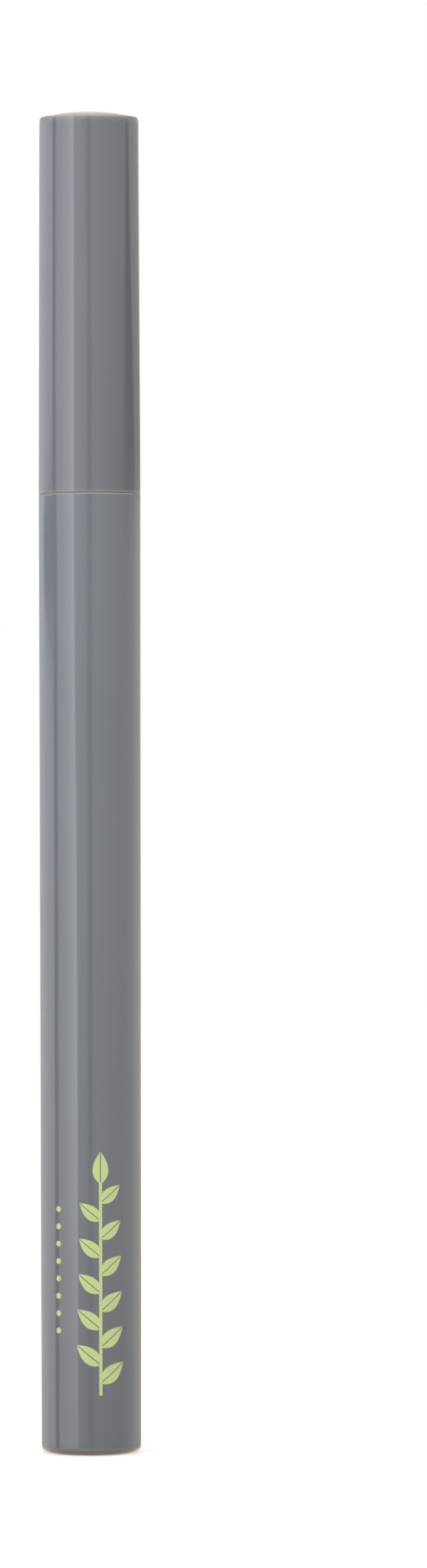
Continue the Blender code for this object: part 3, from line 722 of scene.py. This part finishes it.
def fibre(name, colour, pattern, depth):
    """Bundled fibre: fine lines along the rod that change in tone and stand up a little."""
    finish, build, place, shader = new_finish(name)
    strands = build.noise(place, *pattern)
    soak = build.noise(place, *SOAK_PATCHES)
    shade = strands * FIBRE_STRAND_SHARE + soak * (1 - FIBRE_STRAND_SHARE)
    build.plug(build.tones(shade, colour, FIBRE_SPREAD), shader["Base Color"])
    build.plug(FIBRE_ROUGHNESS - strands * FIBRE_SMOOTHER, shader["Roughness"])
    build.plug(build.relief(strands, depth), shader["Normal"])
    return finish


def clear_film():
    """Thin wrapped film: faintly milky, with fine lengthwise creases."""
    finish, build, place, shader = new_finish("clear_film")
    creases = build.noise(place, *FILM_CREASES)
    build.plug(build.tones(creases, FILM, FILM_SPREAD), shader["Base Color"])
    build.plug(FILM_ROUGHNESS + creases * FILM_ROUGHER, shader["Roughness"])
    build.plug(build.relief(creases, FILM_RELIEF), shader["Normal"])
    shader["Transmission Weight"].default_value = FILM_CLEARNESS
    return finish


soaked_fibre = fibre("reservoir_fibre", SOAKED, SOAKED_STRANDS, SOAKED_RELIEF)
reservoir = turned("fibre_reservoir", *model_outline("reservoir_core"), soaked_fibre)
stand_for("reservoir_core", reservoir)
film = turned("reservoir_wrap", *model_outline("reservoir_film"), clear_film())
stand_for("reservoir_film", film)

# Feed rod: hard pressed porous fibre with a thinner pin. It reaches down into the reservoir
# and up into the brush's root, and draws the liquid from one to the other.

PRESSED = (0.190, 0.120, 0.080)
PRESSED_STRANDS = ((1, 1, 0.12), 6500, 3)
PRESSED_RELIEF = 0.01 * MM

pressed_fibre = fibre("feed_fibre", PRESSED, PRESSED_STRANDS, PRESSED_RELIEF)
feed = turned("feed_rod", *model_outline("feed_core"), pressed_fibre)
stand_for("feed_core", feed)

# Brush: over a thousand tapered filaments, fused at their root and drawn to a fine point.
# Each is a long cone of its own, and its tone differs from its neighbours'.

NIB_SUNK = 0.30 * MM
NIB_CLEARANCE = 0.03 * MM
NIB_FLANGE_HEIGHT = 0.80 * MM
NIB_BORE_RADIUS = 0.65 * MM
NIB_BORE_DEPTH = 3.00 * MM
STRAND_COUNT = 1100
STRAND_SIDES = 6
STRAND_SEGMENTS = 9
STRAND_BULGE = 0.40
STRAND_SHORTEST = 0.90
STRAND_UNEVEN_SHARE = 0.4
STRAND_SWELL_SHARE = 0.7
STRAND_FULLNESS = 1.25
STRAND_SEED = 7
GOLDEN_ANGLE = math.pi * (3 - math.sqrt(5))
BRUSH_ROOT = (0.158, 0.100, 0.084)
BRUSH_ROOT_SPREAD = 0.38
BRUSH_TIP = (0.112, 0.071, 0.060)
BRUSH_TIP_SPREAD = 0.30
BRUSH_LINES = ((1, 1, 0.02), 9000, 1)
BRUSH_RELIEF = 0.004 * MM
BRUSH_ROUGHNESS = 0.36
BRUSH_ROUGHER = 0.2


def bristle():
    """Stained filament: brown, darker where it is wet towards the tip, each its own tone."""
    finish, build, place, shader = new_finish("brush_fibre")
    height = build.part(place, "Z")
    tone = build.node("ShaderNodeAttribute", {}, output="Fac", attribute_name="strand_tone")
    lines = build.noise(place, *BRUSH_LINES)
    wet = (height - nib_face) / (nib_tip - nib_face)
    dry = build.tones(tone, BRUSH_ROOT, BRUSH_ROOT_SPREAD)
    soaked = build.tones(tone, BRUSH_TIP, BRUSH_TIP_SPREAD)
    build.plug(build.mix(wet, dry, soaked), shader["Base Color"])
    build.plug(BRUSH_ROUGHNESS + tone * BRUSH_ROUGHER, shader["Roughness"])
    build.plug(build.relief(lines, BRUSH_RELIEF), shader["Normal"])
    return finish


def brush_tree():
    """Cones set out in a sunflower spiral, each bent in to the outline of the brush."""
    tree, build, given = new_tree(
        "brush",
        {
            "Strands": "Int",
            "Root radius": "Float",
            "Face": "Float",
            "Length": "Float",
            "Bulge": "Float",
            "Shortest": "Float",
            "Fullness": "Float",
            "Seed": "Int",
        },
    )
    points = build.node("GeometryNodePoints", {"Count": given["Strands"]})
    index = build.node("GeometryNodeInputIndex", {})
    sockets = {2: 0.0, 3: 1.0, "Seed": given["Seed"]}
    tone = build.node("FunctionNodeRandomValue", sockets, output=1, data_type="FLOAT")
    for label, value in {"strand": index, "strand_tone": tone}.items():
        sockets = {"Geometry": points, "Name": label, "Value": value}
        points = build.node("GeometryNodeStoreNamedAttribute", sockets, domain="POINT")
    detail = {"Vertices": STRAND_SIDES, "Side Segments": STRAND_SEGMENTS}
    unit_size = {"Radius Top": 0.0, "Radius Bottom": 1.0, "Depth": 1.0}
    cone = build.node("GeometryNodeMeshCone", {**detail, **unit_size})
    strands = build.node("GeometryNodeInstanceOnPoints", {"Points": points, "Instance": cone})
    loose = build.node("GeometryNodeRealizeInstances", {"Geometry": strands})

    number = build.node("GeometryNodeInputNamedAttribute", {"Name": "strand"})
    own = build.node("GeometryNodeInputNamedAttribute", {"Name": "strand_tone"})
    position = build.node("GeometryNodeInputPosition", {})
    side, depth, up = [build.part(position, axis) for axis in "XYZ"]
    base = build.math("SQRT", (number + 0.5) / given["Strands"])
    angle = number * GOLDEN_ANGLE
    uneven = (1 - STRAND_UNEVEN_SHARE) + STRAND_UNEVEN_SHARE * own
    reach = 1 - (1 - given["Shortest"]) * base * base * uneven
    along = up * reach
    outline = (1 - along) * (1 + given["Bulge"] * along)
    slim = 1 - 1 / build.math("SQRT", given["Strands"])
    out = given["Root radius"] * base * outline * slim
    thick = given["Root radius"] * given["Fullness"] / build.math("SQRT", given["Strands"])
    thick = thick * (1 + STRAND_SWELL_SHARE * up)
    moved = build.node(
        "ShaderNodeCombineXYZ",
        {
            "X": out * build.math("COSINE", angle) + thick * side / 2,
            "Y": out * build.math("SINE", angle) + thick * depth / 2,
            "Z": given["Face"] + given["Length"] * along,
        },
    )
    brush = build.node("GeometryNodeSetPosition", {"Geometry": loose, "Position": moved})
    end_tree(build, build.join(given["Geometry"], brush), given["Finish"])
    return tree


nib_low, nib_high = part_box("brush_nib")
nib_tip = nib_high.z
nib_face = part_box("tip_holder")[1].z - NIB_SUNK
nib_radius = min(point[0] for point in model_outline("tip_holder")[0]) - NIB_CLEARANCE
nib_shank = nib_low.z + NIB_FLANGE_HEIGHT
brush_fibre = bristle()
root_outline = [
    (0, nib_face),
    (nib_radius, nib_face),
    (nib_radius, nib_shank),
    (nib_high.x, nib_shank),
    (nib_high.x, nib_low.z),
    (NIB_BORE_RADIUS, nib_low.z),
    (NIB_BORE_RADIUS, nib_low.z + NIB_BORE_DEPTH),
    (0, nib_low.z + NIB_BORE_DEPTH),
]
brush = grown(
    turned("bristle_brush", root_outline, False, brush_fibre),
    brush_tree(),
    {
        "Strands": STRAND_COUNT,
        "Root radius": nib_radius,
        "Face": nib_face,
        "Length": nib_tip - nib_face,
        "Bulge": STRAND_BULGE,
        "Shortest": STRAND_SHORTEST,
        "Fullness": STRAND_FULLNESS,
        "Seed": STRAND_SEED,
        "Finish": brush_fibre,
    },
)
stand_for("brush_nib", brush)

# Nib retainer: a plain white sleeve pressed in behind the brush's root. It keeps the brush in
# its holder and guides the feed rod.

WHITE = (0.74, 0.74, 0.71)
WHITE_SPREAD = 0.05
WHITE_CLOUDS = ((1, 1, 0.5), 300, 3)
WHITE_LINES = ((1, 1, 0.04), 2600, 1)
WHITE_LINE_SHARE = 0.3
WHITE_RELIEF = 0.003 * MM
WHITE_ROUGHNESS = 0.34
WHITE_ROUGHER = 0.14


def white_plastic():
    """Undyed polyethylene: waxy and softly mottled, with faint flow lines."""
    finish, build, place, shader = new_finish("white_plastic")
    clouds = build.noise(place, *WHITE_CLOUDS)
    lines = build.noise(place, *WHITE_LINES)
    relief = build.relief(clouds + lines * WHITE_LINE_SHARE, WHITE_RELIEF)
    build.plug(build.tones(clouds, WHITE, WHITE_SPREAD), shader["Base Color"])
    build.plug(WHITE_ROUGHNESS + clouds * WHITE_ROUGHER, shader["Roughness"])
    build.plug(relief, shader["Normal"])
    return finish


white = white_plastic()
retainer = turned("retaining_sleeve", *model_outline("nib_retainer"), white)
stand_for("nib_retainer", retainer)

# Tip holder: a small grey moulding that carries the brush out of the front section. Four
# shallow round flutes in its sides let air back past it.

FLUTE_COUNT = 4
FLUTE_RADIUS = 0.90 * MM
FLUTE_FOOT_DEPTH = 0.19 * MM
FLUTE_TOP_DEPTH = 0.07 * MM
FLUTE_TURN = math.radians(11)
FLUTE_FLOOR = 0.12 * MM
FLUTE_TOP = 0.62 * MM
FLUTE_END_STEPS = 8


def round_ended_bar(name, low, high, radius, finish):
    """A bar with a round upper end, lying between two points, to cut a flute with."""
    along = high - low
    quarter = [math.pi / 2 * step / FLUTE_END_STEPS for step in range(FLUTE_END_STEPS + 1)]
    outline = [(0, 0)]
    outline += [(radius * math.cos(a), along.length + radius * math.sin(a)) for a in quarter]
    outline.insert(1, (radius, 0))
    bar = turned(name, outline, False, finish)
    lean = along.to_track_quat("Z", "Y").to_matrix().to_4x4()
    bar.data.transform(Matrix.Translation(low) @ lean)
    return bar


holder_outline, _ = model_outline("tip_holder")
holder_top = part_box("tip_holder")[1].z
land_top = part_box("front_section")[1].z
holder_foot_radius = max(r for r, z in holder_outline if abs(z - land_top) < WELD)
holder_top_radius = max(r for r, z in holder_outline if z > holder_top - FLUTE_TOP)
foot_reach = holder_foot_radius + FLUTE_RADIUS - FLUTE_FOOT_DEPTH
top_reach = holder_top_radius + FLUTE_RADIUS - FLUTE_TOP_DEPTH
flute_foot = Vector((foot_reach, 0, land_top + FLUTE_FLOOR))
flute_end = Vector((top_reach, 0, holder_top - FLUTE_TOP))
bar = round_ended_bar("flutes", flute_foot, flute_end, FLUTE_RADIUS, grey)
flutes = grown(bar, spaced_round, {"Count": FLUTE_COUNT, "Turn": FLUTE_TURN, "Finish": grey})
holder = turned("fluted_holder", holder_outline, True, grey)
combine(holder, "DIFFERENCE", flutes)
stand_for("tip_holder", holder)

# Front section: one grey moulding. Its spigot snaps into the barrel, its collar shows when
# the cap is off, the neck's low ring holds the cap, and the long cone ends in a sealing land.

front = turned("front_cone", *model_outline("front_section"), grey)
stand_for("front_section", front)

# Cap: a drafted grey tube, closed by a full dome on a flat rim. Its thin lip covers the
# collar, a groove in its bore catches the neck's ring, and a ridge keeps the inner cap in.

CAP_GREY = (0.165, 0.178, 0.209)
# A painted highlight on the lip and the rim: its paler grey, and how far it reaches up from the
# lip
EDGE_HIGHLIGHT_GREY = (0.225, 0.228, 0.234)
LIP_HIGHLIGHT_REACH = 0.34 * MM
LIP_ROUND_ACROSS = 0.07 * MM
LIP_ROUND_ALONG = 0.14 * MM
LIP_DROP = 0.07 * MM
CROWN_WIDER = 0.07 * MM
CROWN_ROUND_ACROSS = 0.13 * MM
CROWN_ROUND_ALONG = 0.56 * MM
CROWN_RISE = 0.50 * MM
CROWN_FULLNESS_POWER = 3.5
CROWN_SHARE = 0.87
CROWN_STEPS = 14
# Where the rim's painted highlight is palest and where it is plain again, from its own height
CROWN_HIGHLIGHT_FADES = [(-0.12 * MM, -0.85 * MM), (0.03 * MM, 0.25 * MM)]


def crown(pole, side):
    """The cap's closed end: a full dome on a flat rim, then a round corner, down to the side."""
    reach = side * CROWN_SHARE
    shares = [step / CROWN_STEPS for step in range(CROWN_STEPS + 1)]
    dome = [(reach * share, pole - CROWN_RISE * share**CROWN_FULLNESS_POWER) for share in shares]
    return dome + eased((side, pole - CROWN_RISE), CROWN_ROUND_ACROSS, CROWN_ROUND_ALONG)


cap_grey = grey_plastic("cap_grey_plastic", CAP_GREY)
cap_outline, _ = model_outline("cap_shell")
lip = max(range(len(cap_outline)), key=lambda index: cap_outline[index][0])
lip_foot = cap_outline[lip + 1][1] - LIP_DROP
cap_outline[lip + 2] = (cap_outline[lip + 2][0], lip_foot)
lip_corner = (cap_outline[lip][0], lip_foot)
cap_outline[lip : lip + 2] = eased(lip_corner, LIP_ROUND_ACROSS, -LIP_ROUND_ALONG)[::-1]
cap_outline[:lip] = crown(cap_outline[0][1], cap_outline[lip - 1][0] + CROWN_WIDER)
lip_top = lip_foot + LIP_ROUND_ALONG
rim_height = cap_outline[0][1] - CROWN_RISE
rim_highlight_fades = [(rim_height + palest, rim_height + plain) for palest, plain in CROWN_HIGHLIGHT_FADES]
# The lip and a band round the crown's rim get a painted highlight, a paler grey in the cap's
# colour
paint_edge_highlight(cap_grey, EDGE_HIGHLIGHT_GREY, (lip_top, lip_top + LIP_HIGHLIGHT_REACH))
paint_edge_highlight(cap_grey, EDGE_HIGHLIGHT_GREY, *rim_highlight_fades)
cap = turned("pull_off_cap", cap_outline, False, cap_grey)
stand_for("cap_shell", cap)

# Inner cap: a white polyethylene cup that seals round the brush on the front section's land,
# and slides a little way in the cap.

sealing_cup = turned("sealing_inner_cap", *model_outline("inner_cap"), white)
stand_for("inner_cap", sealing_cup)

# Spring: stainless wire between the inner cap's flange and the cap's ceiling, with a closer
# curl at each end. It presses the inner cap on the land.

SPRING_WIRE = 0.40 * MM
SPRING_EASE = 0.06 * MM
SPRING_CURLS = 7
SPRING_STEPS = 40
SPRING_END_PITCH_SHARE = 0.55
SPRING_BEVEL_STEPS = 4
STEEL = (0.56, 0.56, 0.57)
STEEL_SPREAD = 0.12
STEEL_LINES = ((1, 1, 0.6), 6000, 2)
STEEL_RELIEF = 0.002 * MM
STEEL_ROUGHNESS = 0.18
STEEL_ROUGHER = 0.18


def drawn_steel():
    """Drawn stainless wire: bright, with fine die lines and a touch of handling."""
    finish, build, place, shader = new_finish("spring_steel")
    lines = build.noise(place, *STEEL_LINES)
    build.plug(build.tones(lines, STEEL, STEEL_SPREAD), shader["Base Color"])
    build.plug(STEEL_ROUGHNESS + lines * STEEL_ROUGHER, shader["Roughness"])
    build.plug(build.relief(lines, STEEL_RELIEF), shader["Normal"])
    shader["Metallic"].default_value = 1
    return finish


def wire_path(radius, low, high):
    """Points along the wire's middle, closer together in height in the first and last curl."""
    even_curls = [1] * (SPRING_CURLS - 2)
    pitches = [SPRING_END_PITCH_SHARE, *even_curls, SPRING_END_PITCH_SHARE]
    rise = (high - low) / sum(pitches)
    points = []
    height = low
    for pitch in pitches:
        for step in range(SPRING_STEPS):
            angle = 2 * math.pi * step / SPRING_STEPS
            climb = rise * pitch * step / SPRING_STEPS
            points.append((radius * math.cos(angle), radius * math.sin(angle), height + climb))
        height += rise * pitch
    return [*points, (radius, 0, high)]


steel = drawn_steel()
spring_low, spring_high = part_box("inner_cap_spring")
spring_radius = spring_high.x - SPRING_WIRE / 2 - SPRING_EASE
lowest, highest = spring_low.z + SPRING_WIRE / 2, spring_high.z - SPRING_WIRE / 2
path = wire_path(spring_radius, lowest, highest)
wire = bpy.data.curves.new("cap_spring", "CURVE")
wire.dimensions = "3D"
wire.bevel_depth = SPRING_WIRE / 2
wire.bevel_resolution = SPRING_BEVEL_STEPS
wire.use_fill_caps = True
line = wire.splines.new("POLY")
line.points.add(len(path) - 1)
for point, place in zip(line.points, path):
    point.co = (*place, 1)
coil = bpy.data.objects.new("wire_coil", wire)
bpy.context.scene.collection.objects.link(coil)
graph = bpy.context.evaluated_depsgraph_get()
coil_mesh = bpy.data.meshes.new_from_object(coil.evaluated_get(graph))
bpy.data.objects.remove(coil)
spring = new_piece("cap_spring", coil_mesh, steel)
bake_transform(spring)
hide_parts("inner_cap_spring")

# Studio: a plain pale floor, one soft lamp at the left of the camera, and surroundings that
# show in the gloss of the plastic as a softbox at the left, a dark flag on either side, white
# paper behind the pen, a table, a shelf, a light overhead, and a dim room in the middle.

PIXEL = 0.09845 * MM
PICTURE_WIDTH = 460
PICTURE_HEIGHT = 1688
PEN_COLUMN = 97.1
FOOT_ROW = 1562.9
CAMERA_DISTANCE = 767.9 * MM
CAMERA_ROLL = math.radians(0.117)
CAMERA_NEAREST = 0.05
CAMERA_FARTHEST = 20
SENSOR = 36
FLOOR_SIZE = 3.0
FLOOR_WHITE = (0.24, 0.24, 0.24)
FLOOR_SPREAD = 0.02
FLOOR_GRAIN = ((1, 1, 1), 900, 3)
FLOOR_ROUGHNESS = 0.9
FLOOR_LIFT = 0.66
FILL = (0.342, 0.342, 0.350)
FILL_LEFT = 0.10
OVERHEAD_FILL = 2.6
LAMP_ANGLE = math.radians(26)
LAMP_DISTANCE = 0.14
LAMP_HEIGHT = 0.15
LAMP_SIZE = 0.10
LAMP_POWER = 0.10
NEUTRAL = (1.0, 1.0, 1.0)
COOL = (0.94, 1.0, 1.08)
WARM = (1.06, 1.0, 0.88)
SHELF = (1.28, 1.0, 0.60)
TABLE = (1.33, 1.0, 0.80)
BRIGHTEST = 2.0
# How bright the room is, by degrees round from the camera, positive to the left
ROOM_LEVELS = [
    (-180, 0.55, WARM),
    (-147, 0.88, WARM),
    (-128, 1.24, WARM),
    (-112, 1.27, WARM),
    (-100, 1.12, NEUTRAL),
    (-85, 1.00, NEUTRAL),
    (-8, 0.97, NEUTRAL),
    (-4.5, 0.22, NEUTRAL),
    (4, 0.22, NEUTRAL),
    (7, 1.00, NEUTRAL),
    (34, 1.45, NEUTRAL),
    (92, 1.92, NEUTRAL),
    (108, 1.78, NEUTRAL),
    (128, 1.56, NEUTRAL),
    (147, 1.02, NEUTRAL),
    (180, 0.55, WARM),
]
CAP_LIFT = 0.05
FOOT_DIM = 0.10
MIDDLE_DIM = 0.35
# An edge is a height over the camera's level, in degrees, and its blur
OVERHEAD_EDGE = (38, 10)
SHELF_EDGE = (23, 7)
BEHIND_EDGE = (6.8, 0.7)
CAP_FOOT_EDGE = (4.0, 0.8)
CAP_EDGE = (2.4, 0.3)
BOX_EDGE = (0, 1.5)
FOOT_EDGE = (-4.4, 1.2)
TABLE_EDGE = (-14, 5)
# A span is two sides, in degrees round from the camera, positive to the left, and their blur
FRONT_SPAN = (-112, 112, 18)
LENS_SPAN = (-84, 84, 14)
MIDDLE_SPAN = (-80, 50, 20)
BOX_INNER = 29.5
BOX_INNER_STEP = 5.5
BOX_OUTER = 78.3
BOX_OUTER_STEP = 3.9
BOX_BLUR = 0.6
BOX_FALLOFF_POWER = 1.8
BOX_OUTER_LEVEL = 1.65
BOX_INNER_LEVEL = 4.1
BOX_FOOT_SHARE = 0.8
BOX_FOOT_LEVEL = 1.6
LEFT_FLAG_OUTER = 90
LEFT_FLAG_STEP = 2.8
LEFT_FLAG_ARM = 37
LEFT_FLAG_ARM_HEIGHTS = (1.15, 2.4, 0.4)
LEFT_FLAG_BLUR = 1
LEFT_FLAG_LEVEL = 0.05
RIGHT_FLAG_HEIGHT = 3.1
RIGHT_FLAG_OUTER = -123.5
RIGHT_FLAG_OUTER_LEAN = 8
RIGHT_FLAG_INNER = -85.5
RIGHT_FLAG_INNER_LEAN = 4.5
RIGHT_FLAG_BLUR = 3
RIGHT_FLAG_LEVEL = 0.02
INSIDE_FLAG_SPAN = (-105, -45, 22)
INSIDE_FLAG_DIM = 0.45
PAST_FLAG_SIDE = (-118, 8)
PAST_FLAG_DIM = 0.42
PAST_FLAG_LIFT = 0.12
TABLE_LEVEL = 1.5
BEHIND_LEVEL = 0.80
SHELF_BACK_LEVEL = 1.1
SHELF_FRONT_LEVEL = 3.6
OVERHEAD_BACK_LEVEL = 1.3
OVERHEAD_FRONT_LEVEL = 4.4


def above(build, value, border, blur):
    """Rises from none to one as a value passes a border, over a soft width."""
    return build.fade(value, border - blur, border + blur)


def between(build, value, low, high, blur):
    """One between two borders and none outside them, over a soft width."""
    return above(build, value, low, blur) - above(build, value, high, blur)


def pale_world():
    """White to the camera, a set of panels to the gloss, and a soft fill to everything else."""
    world = bpy.data.worlds.new("studio")
    bpy.context.scene.world = world
    world.use_nodes = True
    build = Build(world.node_tree)
    background = world.node_tree.nodes["Background"].inputs
    direction = build.node("ShaderNodeTexCoord", {}, output="Generated")
    across, away, up = [build.part(direction, axis) for axis in "XYZ"]
    azimuth = build.math("ARCTAN2", across * -1, away * -1) * math.degrees(1)
    elevation = build.math("ARCSINE", up) * math.degrees(1)
    overhead = above(build, elevation, *OVERHEAD_EDGE)
    shelf = above(build, elevation, *SHELF_EDGE)
    table = 1 - above(build, elevation, *TABLE_EDGE)
    cap_high = above(build, elevation, *CAP_EDGE)
    foot_low = 1 - above(build, elevation, *FOOT_EDGE)
    dark = rgba(NEUTRAL, 0)

    stops = [
        ((angle + 180) / 360, rgba(tint, level / BRIGHTEST))
        for angle, level, tint in ROOM_LEVELS
    ]
    room = build.node("ShaderNodeValToRGB", {"Fac": azimuth / 360 + 0.5}, stops=stops)
    near_middle = between(build, azimuth, *MIDDLE_SPAN)
    foot_dim = foot_low * (FOOT_DIM + MIDDLE_DIM * near_middle)
    room = build.scaled(room, BRIGHTEST * ((1 - CAP_LIFT) + CAP_LIFT * cap_high - foot_dim))

    # A softbox at the left, whose foot is dimmer, with a dark flag along its outer side
    box_inner = BOX_INNER + BOX_INNER_STEP * above(build, elevation, *BOX_EDGE)
    box_outer = BOX_OUTER + BOX_OUTER_STEP * cap_high
    inward = (box_outer - azimuth) / (box_outer - box_inner)
    inward = build.math("POWER", inward, BOX_FALLOFF_POWER)
    box_light = build.mix(inward, rgba(COOL, BOX_OUTER_LEVEL), rgba(NEUTRAL, BOX_INNER_LEVEL))
    box_light = build.mix(foot_low * BOX_FOOT_SHARE, box_light, rgba(NEUTRAL, BOX_FOOT_LEVEL))
    box = between(build, azimuth, box_inner, box_outer, BOX_BLUR)
    panels = build.mix(box, room, box_light)
    arm = LEFT_FLAG_ARM * between(build, elevation, *LEFT_FLAG_ARM_HEIGHTS)
    past_box = LEFT_FLAG_OUTER + LEFT_FLAG_STEP * cap_high + arm
    left_flag = between(build, azimuth, box_outer, past_box, LEFT_FLAG_BLUR)
    panels = build.mix(left_flag, panels, rgba(NEUTRAL, LEFT_FLAG_LEVEL))

    # A dark flag at the right, beside the cap, that narrows upwards. The paper past it and
    # the room at its inner side are dimmer low down.
    cap_rise = elevation - RIGHT_FLAG_HEIGHT
    cap_foot = cap_high * (1 - above(build, elevation, *CAP_FOOT_EDGE))
    inside_flag = between(build, azimuth, *INSIDE_FLAG_SPAN) * cap_foot
    panels = build.mix(inside_flag * INSIDE_FLAG_DIM, panels, dark)
    past_flag = (1 - above(build, azimuth, *PAST_FLAG_SIDE)) * cap_high
    panels = build.mix(past_flag * (PAST_FLAG_DIM - PAST_FLAG_LIFT * cap_rise), panels, dark)
    flag_outer = RIGHT_FLAG_OUTER + RIGHT_FLAG_OUTER_LEAN * cap_rise
    flag_inner = RIGHT_FLAG_INNER - RIGHT_FLAG_INNER_LEAN * cap_rise
    right_flag = between(build, azimuth, flag_outer, flag_inner, RIGHT_FLAG_BLUR)
    panels = build.mix(right_flag * cap_high, panels, rgba(NEUTRAL, RIGHT_FLAG_LEVEL))

    # A warm table below, and paper, a shelf and a strong light above
    panels = build.mix(table, panels, rgba(TABLE, TABLE_LEVEL))
    front = between(build, azimuth, *FRONT_SPAN)
    behind = above(build, elevation, *BEHIND_EDGE) * (1 - front)
    panels = build.mix(behind, panels, rgba(WARM, BEHIND_LEVEL))
    shelf_light = build.mix(front, rgba(WARM, SHELF_BACK_LEVEL), rgba(SHELF, SHELF_FRONT_LEVEL))
    panels = build.mix(shelf, panels, shelf_light)
    lens = between(build, azimuth, *LENS_SPAN)
    top_light = build.mix(lens, rgba(WARM, OVERHEAD_BACK_LEVEL), rgba(WARM, OVERHEAD_FRONT_LEVEL))
    panels = build.mix(overhead, panels, top_light)

    fill = build.mix(overhead, rgba(FILL), rgba(WARM, OVERHEAD_FILL))
    fill = build.scaled(fill, 1 - FILL_LEFT * across)
    camera, glossy, through = [
        build.node("ShaderNodeLightPath", {}, output=ray)
        for ray in ("Is Camera Ray", "Is Glossy Ray", "Is Transmission Ray")
    ]
    seen = build.mix(glossy, fill, panels)
    white_rays = build.math("MAXIMUM", camera, through)
    build.plug(build.mix(white_rays, seen, rgba(NEUTRAL)), background["Color"])


def white_floor():
    """Matt paper. The camera sees it white, but for the pen's own soft shadow."""
    finish, build, place, shader = new_finish("white_paper")
    grain = build.noise(place, *FLOOR_GRAIN)
    build.plug(build.tones(grain, FLOOR_WHITE, FLOOR_SPREAD), shader["Base Color"])
    shader["Roughness"].default_value = FLOOR_ROUGHNESS
    shader["Specular IOR Level"].default_value = 0
    camera = build.node("ShaderNodeLightPath", {}, output="Is Camera Ray")
    shader["Emission Strength"].default_value = 1
    lift = build.mix(camera, rgba(NEUTRAL, 0), rgba(NEUTRAL, FLOOR_LIFT))
    build.plug(lift, shader["Emission Color"])
    return finish


floor_mesh = bpy.data.meshes.new("floor")
edge = FLOOR_SIZE / 2
floor_corners = [(-edge, -edge, 0), (edge, -edge, 0), (edge, edge, 0), (-edge, edge, 0)]
floor_mesh.from_pydata(floor_corners, [], [(0, 1, 2, 3)])
floor = new_piece("floor", floor_mesh, white_floor())
floor.visible_glossy = False
pale_world()

lamp_data = bpy.data.lights.new("soft_lamp", "AREA")
lamp_data.shape = "SQUARE"
lamp_data.size = LAMP_SIZE
lamp_data.energy = LAMP_POWER
lamp = bpy.data.objects.new("soft_lamp", lamp_data)
lamp.visible_glossy = False
lamp.visible_camera = False
lamp_side = -LAMP_DISTANCE * math.sin(LAMP_ANGLE)
lamp_front = -LAMP_DISTANCE * math.cos(LAMP_ANGLE)
lamp_place = Vector((lamp_side, lamp_front, LAMP_HEIGHT))
lamp.location = lamp_place
pen_middle = Vector((0, 0, cad_box[1].z / 2))
lamp.rotation_euler = (pen_middle - lamp_place).to_track_quat("-Z", "Y").to_euler()
bpy.context.scene.collection.objects.link(lamp)

camera_data = bpy.data.cameras.new("camera")
camera_data.sensor_width = SENSOR
camera_data.lens = SENSOR * CAMERA_DISTANCE / (PICTURE_HEIGHT * PIXEL)
camera_data.clip_start = CAMERA_NEAREST
camera_data.clip_end = CAMERA_FARTHEST
camera = bpy.data.objects.new("camera", camera_data)
camera.location = (
    (PICTURE_WIDTH / 2 - PEN_COLUMN) * PIXEL,
    -CAMERA_DISTANCE,
    (FOOT_ROW - PICTURE_HEIGHT / 2) * PIXEL,
)
camera.rotation_euler = (math.pi / 2, CAMERA_ROLL, 0)
bpy.context.scene.collection.objects.link(camera)
bpy.context.scene.camera = camera
bpy.context.scene.view_settings.view_transform = "Standard"
